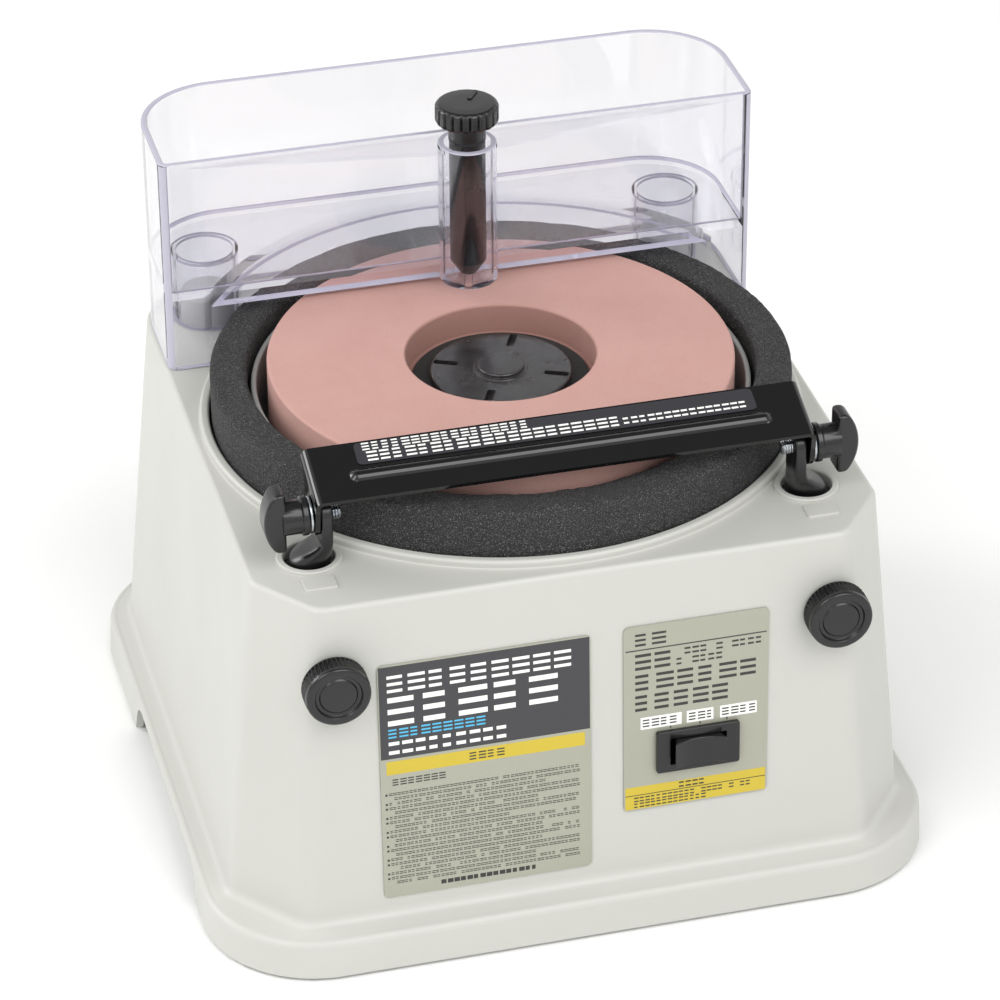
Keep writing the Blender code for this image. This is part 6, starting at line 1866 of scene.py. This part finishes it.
@dataclass
class ClampEnd:
    """One end of the bar: guide post, threaded stud, washer and wing screw."""

    axis: ClampAxis
    cabinet: Cabinet
    side: Side
    post_radius: float = 0.0080
    post_bottom: float = 0.088
    neck: Pair = (0.1555, 0.1672)
    tongue: Pair = (0.0025, 0.0065)
    tongue_x: float = 0.0904
    stud_radius: float = 0.0030
    stud_inner: float = 0.0840
    pitch: float = 0.0010
    thread_depth: float = 0.00045
    washer_radius: float = 0.0070
    hub_radius: float = 0.0075
    hub_length: float = 0.0085
    wing_half: float = 0.0124
    wing_thickness: float = 0.0082
    wing_width: float = 0.0100

    def build_post(self) -> None:
        """Builds the post: round in the socket, drawn out into a flat tongue beside the ear."""
        x0, y0 = self.side.value * self.cabinet.socket_place[0], self.cabinet.socket_place[1]
        x1, y1 = self.side.value * self.tongue_x, self.axis.y
        start, end = self.neck
        peak = self.axis.z + self.tongue[1]
        levels: list[tuple[float, float, float, float, float]] = [
            (self.post_bottom, self.post_radius - 0.001, self.post_radius - 0.001, x0, y0),
            (self.post_bottom + 0.001, self.post_radius, self.post_radius, x0, y0)]
        for step in range(25):
            share = step / 24
            ease = share * share * (3 - 2 * share)
            levels.append((start + (end - start) * share,
                           self.post_radius + (self.tongue[0] - self.post_radius) * ease,
                           self.post_radius + (self.tongue[1] - self.post_radius) * ease,
                           x0 + (x1 - x0) * ease, y0 + (y1 - y0) * ease))
        for step in range(1, 17):
            height = end + (peak - end) * math.sin(QUARTER * step / 16)
            above = max(0.0, height - self.axis.z)
            half = math.sqrt(max(self.tongue[1] ** 2 - above ** 2, 0.0006 ** 2))
            levels.append((height, self.tongue[0], half, x1, y1))
        rings = []
        for height, half_x, half_y, x, y in levels:
            boxy = min(1.0, max(0.0, (height - start) / (end - start)))
            power = 1.0 - 0.62 * boxy
            ring = []
            for step in range(72):
                angle = TURN * step / 72
                cosine, sine = math.cos(angle), math.sin(angle)
                ring.append((x + half_x * math.copysign(abs(cosine) ** power, cosine),
                             y + half_y * math.copysign(abs(sine) ** power, sine), height))
            rings.append(ring)
        post = lofted(f"guide_post_arm_{self.side.word}", rings)
        hole = moved(rod("post_hole", self.axis.hole, -0.008, 0.008, 40),
                     self.axis.end(self.side, self.tongue_x))
        combined(post, [hole], "DIFFERENCE")
        fitted(post, f"post_{self.side.word}", Slot.BLACK_PLASTIC, f"guide_post_{self.side.word}")

    def threaded(self, radius: float, height: float, angle: float) -> float:
        """Single-start V thread.

        Args:
            radius: Plain radius.
            height: Place along the stud.
            angle: Angle round it.

        Returns:
            The radius with the thread cut.
        """
        phase = (height / self.pitch - angle / TURN) % 1.0
        return radius - self.thread_depth * abs(2 * phase - 1) if radius > 0.8 * self.stud_radius else radius

    def build_stud(self) -> None:
        """Builds the zinc stud with a real helical thread."""
        length = self.axis.hub_inner + self.hub_length - 0.0013 - self.stud_inner
        steps = round(length / self.pitch * 8)
        profile = [(0.0, 0.0), (self.stud_radius * 0.72, 0.0), (self.stud_radius, 0.0005)]
        profile += [(self.stud_radius, 0.0005 + (length - 0.0005) * step / steps)
                    for step in range(1, steps + 1)]
        profile.append((0.0, length))
        stud = turned(f"threaded_stud_{self.side.word}", profile, 32, reach=self.threaded)
        moved(stud, self.axis.end(self.side, self.stud_inner))
        fitted(stud, f"wing_{self.side.word}", Slot.ZINC, f"clamp_stud_{self.side.word}")

    def build_washer(self) -> None:
        """Builds the flat washer between ear and wing screw."""
        bore, thick = self.axis.hole, self.axis.washer
        profile = filleted([(bore, 0, 0.0001), (self.washer_radius, 0, 0.0002),
                            (self.washer_radius, thick, 0.0003), (bore, thick, 0.0002)], steps=3)
        washer = turned(f"flat_washer_{self.side.word}", profile, 72)
        moved(washer, self.axis.end(self.side, self.axis.bar_half + self.axis.gap))
        fitted(washer, f"wing_{self.side.word}", Slot.ZINC, f"clamp_washer_{self.side.word}")

    def build_wing(self) -> None:
        """Builds the wing screw: ringed hub and an arched paddle."""
        neck, end = self.hub_radius - 0.0009, self.hub_length + 0.0012
        hub = filleted([(self.axis.hole, 0, 0), (self.hub_radius, 0, 0.0006),
                        (self.hub_radius, 0.0022, 0.0004), (neck, 0.0027, 0.0003), (neck, end, 0),
                        (self.axis.hole, end, 0)], steps=4)
        wing = turned(f"wing_screw_head_{self.side.word}", hub, 72)
        outline: list[Pair] = [(self.hub_length, -self.wing_half * 0.99),
                               (self.hub_length, self.wing_half * 0.99)]
        for step in range(25):
            height = self.wing_half * (1 - step / 12)
            arch = max(0.0, 1 - (height / self.wing_half) ** 2)
            outline.append((self.hub_length + self.wing_thickness * (0.42 + 0.58 * arch ** 0.8), height))
        half = self.wing_width / 2
        paddle = lofted("paddle", [[(-z, y, x) for x, z in outline] for y in (-half, half)])
        bevelled(paddle, 0.0014, segments=4, angle=40)
        combined(wing, [paddle], "UNION")
        moved(wing, self.axis.end(self.side, self.axis.hub_inner))
        fitted(wing, f"wing_{self.side.word}", Slot.BLACK_PLASTIC, f"wing_screw_{self.side.word}")

    def build(self) -> None:
        """Builds everything at this end of the bar."""
        self.build_post()
        self.build_stud()
        self.build_washer()
        self.build_wing()


@dataclass
class PostLock:
    """Ribbed knob on the front wall that locks one guide post."""

    cabinet: Cabinet
    side: Side
    height: float = 0.1247
    radius: float = 0.0124
    length: float = 0.0092
    ribs: int = 44
    rib_depth: float = 0.0009
    recess_radius: float = 0.0085
    recess_depth: float = 0.0012

    def ribbed(self, radius: float, height: float, angle: float) -> float:
        """Fine ribs along the grip, smooth at both rims.

        Args:
            radius: Plain radius.
            height: Place along the knob.
            angle: Angle round it.

        Returns:
            The radius with the ribs cut.
        """
        if radius < self.radius * 0.9 or height > self.length * 0.74 or height < self.length * 0.06:
            return radius
        return radius - self.rib_depth * (0.5 + 0.5 * math.cos(self.ribs * angle)) ** 0.7

    def build(self) -> None:
        """Builds the knob and gives its stud a zinc finish."""
        face = self.cabinet.front_wall(self.height - self.radius) - 0.0003
        grip = [(self.radius, self.length * share) for share in (0.07, 0.3, 0.5, 0.72)]
        sunk = self.length - self.recess_depth
        rim = filleted([(self.radius - 0.0002, self.length * 0.76, 0),
                        (self.radius - 0.0003, self.length, 0.0016),
                        (self.recess_radius + 0.0006, self.length, 0.0005),
                        (self.recess_radius, sunk, 0.0005),
                        (self.recess_radius - 0.0012, sunk - 0.0002, 0.0003),
                        (self.recess_radius - 0.0018, sunk + 0.0004, 0.0004),
                        (0, sunk + 0.0007, 0)], closed=False, steps=5)
        heel = (self.radius - 0.0002, self.length * 0.05)
        profile = [(0.0, 0.0), (self.radius - 0.0009, 0.0), heel, *grip, *rim]
        knob = turned(f"ribbed_lock_knob_{self.side.word}", profile, self.ribs * 8, reach=self.ribbed)
        turn = Matrix.Rotation(QUARTER, 4, "X")
        x = self.side.value * self.cabinet.socket_place[0]
        moved(knob, Matrix.Translation((x, face, self.height)) @ turn)
        fitted(knob, f"lock_{self.side.word}", Slot.BLACK_PLASTIC, f"post_lock_knob_{self.side.word}")
        repaint(f"post_lock_stud_{self.side.word}", ZINC_PLATE)


# ---- Carried-over pieces --------------------------------------------------------------------
@dataclass
class Works:
    """Pieces under and inside the cabinet that keep their CAD meshes."""

    by_finish: tuple[tuple[Finish, tuple[str, ...]], ...] = (
        (GREIGE_ABS, ("base_cover",)),
        (NITRILE, ("foot_front_left", "foot_front_right", "foot_rear_left", "foot_rear_right",
                   "cord_inlet_gland", "drain_elbow", "water_slinger", "shaft_seal", "drive_belt")),
        (ZINC_PLATE, ("base_screw_front_left", "base_screw_front_right", "base_screw_rear_left",
                      "base_screw_rear_right")),
        (TURNED_STEEL, ("spindle_shaft", "lower_bearing", "upper_bearing", "motor_bracket",
                        "motor_stator", "motor_rotor", "post_sleeve_left", "post_sleeve_right")),
        (CAST_ALUMINIUM, ("stone_platter", "bearing_housing", "driven_pulley", "drive_pulley",
                          "motor_lower_bell", "motor_upper_bell")),
        (BLACK_NYLON, ("cooling_fan",)),
        (WHITE_NYLON, ("run_capacitor", "terminal_block")),
    )

    def dress(self) -> None:
        """Gives each piece the finish of its real material."""
        for finish, nodes in self.by_finish:
            for node in nodes:
                repaint(node, finish)


# ---- Studio ------------
@dataclass(frozen=True)
class Softbox:
    """One square soft lamp that faces the machine: metres and watts."""

    name: str
    place: Triple
    size: float
    power: float

    def hang(self, target: Vector) -> None:
        """Hangs the lamp.

        Args:
            target: What it faces.
        """
        light = bpy.data.lights.new(self.name, "AREA")
        light.shape, light.size, light.energy = "SQUARE", self.size, self.power
        lamp = bpy.data.objects.new(self.name, light)
        lamp.location = self.place
        lamp.rotation_mode = "QUATERNION"
        lamp.rotation_quaternion = (target - Vector(self.place)).to_track_quat("-Z", "Y")
        bpy.context.scene.collection.objects.link(lamp)


@dataclass
class Studio:
    """Pale floor, soft light and the camera."""

    azimuth: float = -14.486
    elevation: float = 31.917
    roll: float = -0.412
    distance: float = 1.7347
    target: Triple = (-0.0031, -0.0113, 0.1195)
    lens: float = 160.2
    sensor: float = 36.0
    floor_size: float = 24.0
    sky_strength: float = 1.0
    flag_strength: float = 0.30
    flag_towards: Triple = (0.21, 0.36, 0.91)
    flag_edge: Pair = (0.72, 0.90)
    lamp_target: Triple = (0.0, 0.0, 0.12)
    softboxes: tuple[Softbox, ...] = (
        Softbox("key_softbox", (0.55, -1.36, 1.75), 1.4, 20.0),
        Softbox("fill_softbox", (-1.2, -1.0, 1.6), 1.0, 12.0),
        Softbox("rear_softbox", (-1.6, 0.9, 0.95), 0.8, 12.0))

    def camera(self) -> None:
        """Makes the camera that looks down at the front of the machine."""
        a, e, r = (math.radians(v) for v in (self.azimuth, self.elevation, self.roll))
        right = Vector((math.cos(a), math.sin(a), 0.0))
        back = Vector((math.sin(a) * math.cos(e), -math.cos(a) * math.cos(e), math.sin(e)))
        up = back.cross(right)
        rolled_right = math.cos(r) * right + math.sin(r) * up
        rolled_up = back.cross(rolled_right)
        lens = bpy.data.cameras.new("bench_camera")
        lens.lens, lens.sensor_width = self.lens, self.sensor
        lens.clip_start, lens.clip_end = 0.05, 60.0
        camera = bpy.data.objects.new("bench_camera", lens)
        turn = Matrix((rolled_right, rolled_up, back)).transposed().to_4x4()
        camera.matrix_world = Matrix.Translation(Vector(self.target) + back * self.distance) @ turn
        bpy.context.scene.collection.objects.link(camera)
        bpy.context.scene.camera = camera

    def floor(self) -> None:
        """Lays the pale floor."""
        half = self.floor_size / 2
        shape = bmesh.new()
        shape.faces.new([shape.verts.new((x * half, y * half, 0.0))
                         for x, y in ((-1, -1), (1, -1), (1, 1), (-1, 1))])
        paper = finished(shape, "studio_floor")
        paper.data.materials.append(PAPER.material())

    def light(self) -> None:
        """Sets a pale sky with a dark flag overhead, which keeps black gloss black, and the lamps."""
        world = bpy.data.worlds.new("soft_sky")
        world.use_nodes = True
        sky = world.node_tree.nodes["Background"]
        sky.inputs["Color"].default_value = linear("FFFFFF")
        tree = world.node_tree
        towards = add_node(tree, "TexCoord")
        facing = add_node(tree, "VectorMath", {1: Vector(self.flag_towards).normalized()},
                          {0: towards.outputs["Generated"]}, operation="DOT_PRODUCT")
        strength = add_node(tree, "MapRange", {"From Min": self.flag_edge[0], "From Max": self.flag_edge[1],
                                               "To Min": self.sky_strength, "To Max": self.flag_strength},
                            {"Value": facing.outputs["Value"]})
        tree.links.new(strength.outputs["Result"], sky.inputs["Strength"])
        bpy.context.scene.world = world
        for softbox in self.softboxes:
            softbox.hang(Vector(self.lamp_target))
        bpy.context.scene.view_settings.view_transform = "Standard"

    def build(self) -> None:
        """Sets up the whole studio."""
        self.camera()
        self.floor()
        self.light()


def main() -> None:
    """Builds every sub-assembly in order."""
    logging.basicConfig(level=logging.INFO, format="%(message)s", stream=sys.stdout)
    Studio().build()
    cabinet = Cabinet()
    cabinet.build()
    SplashWell().build()
    StoneHead().build()
    DripTank().build()
    plates = FrontPlates(cabinet)
    plates.build()
    RockerSwitch(plates).build()
    axis = ClampAxis()
    RestBar(axis).build()
    for side in Side:
        ClampEnd(axis, cabinet, side).build()
        PostLock(cabinet, side).build()
    Works().dress()
    bpy.context.view_layer.update()


if __name__ == "__main__":
    main()
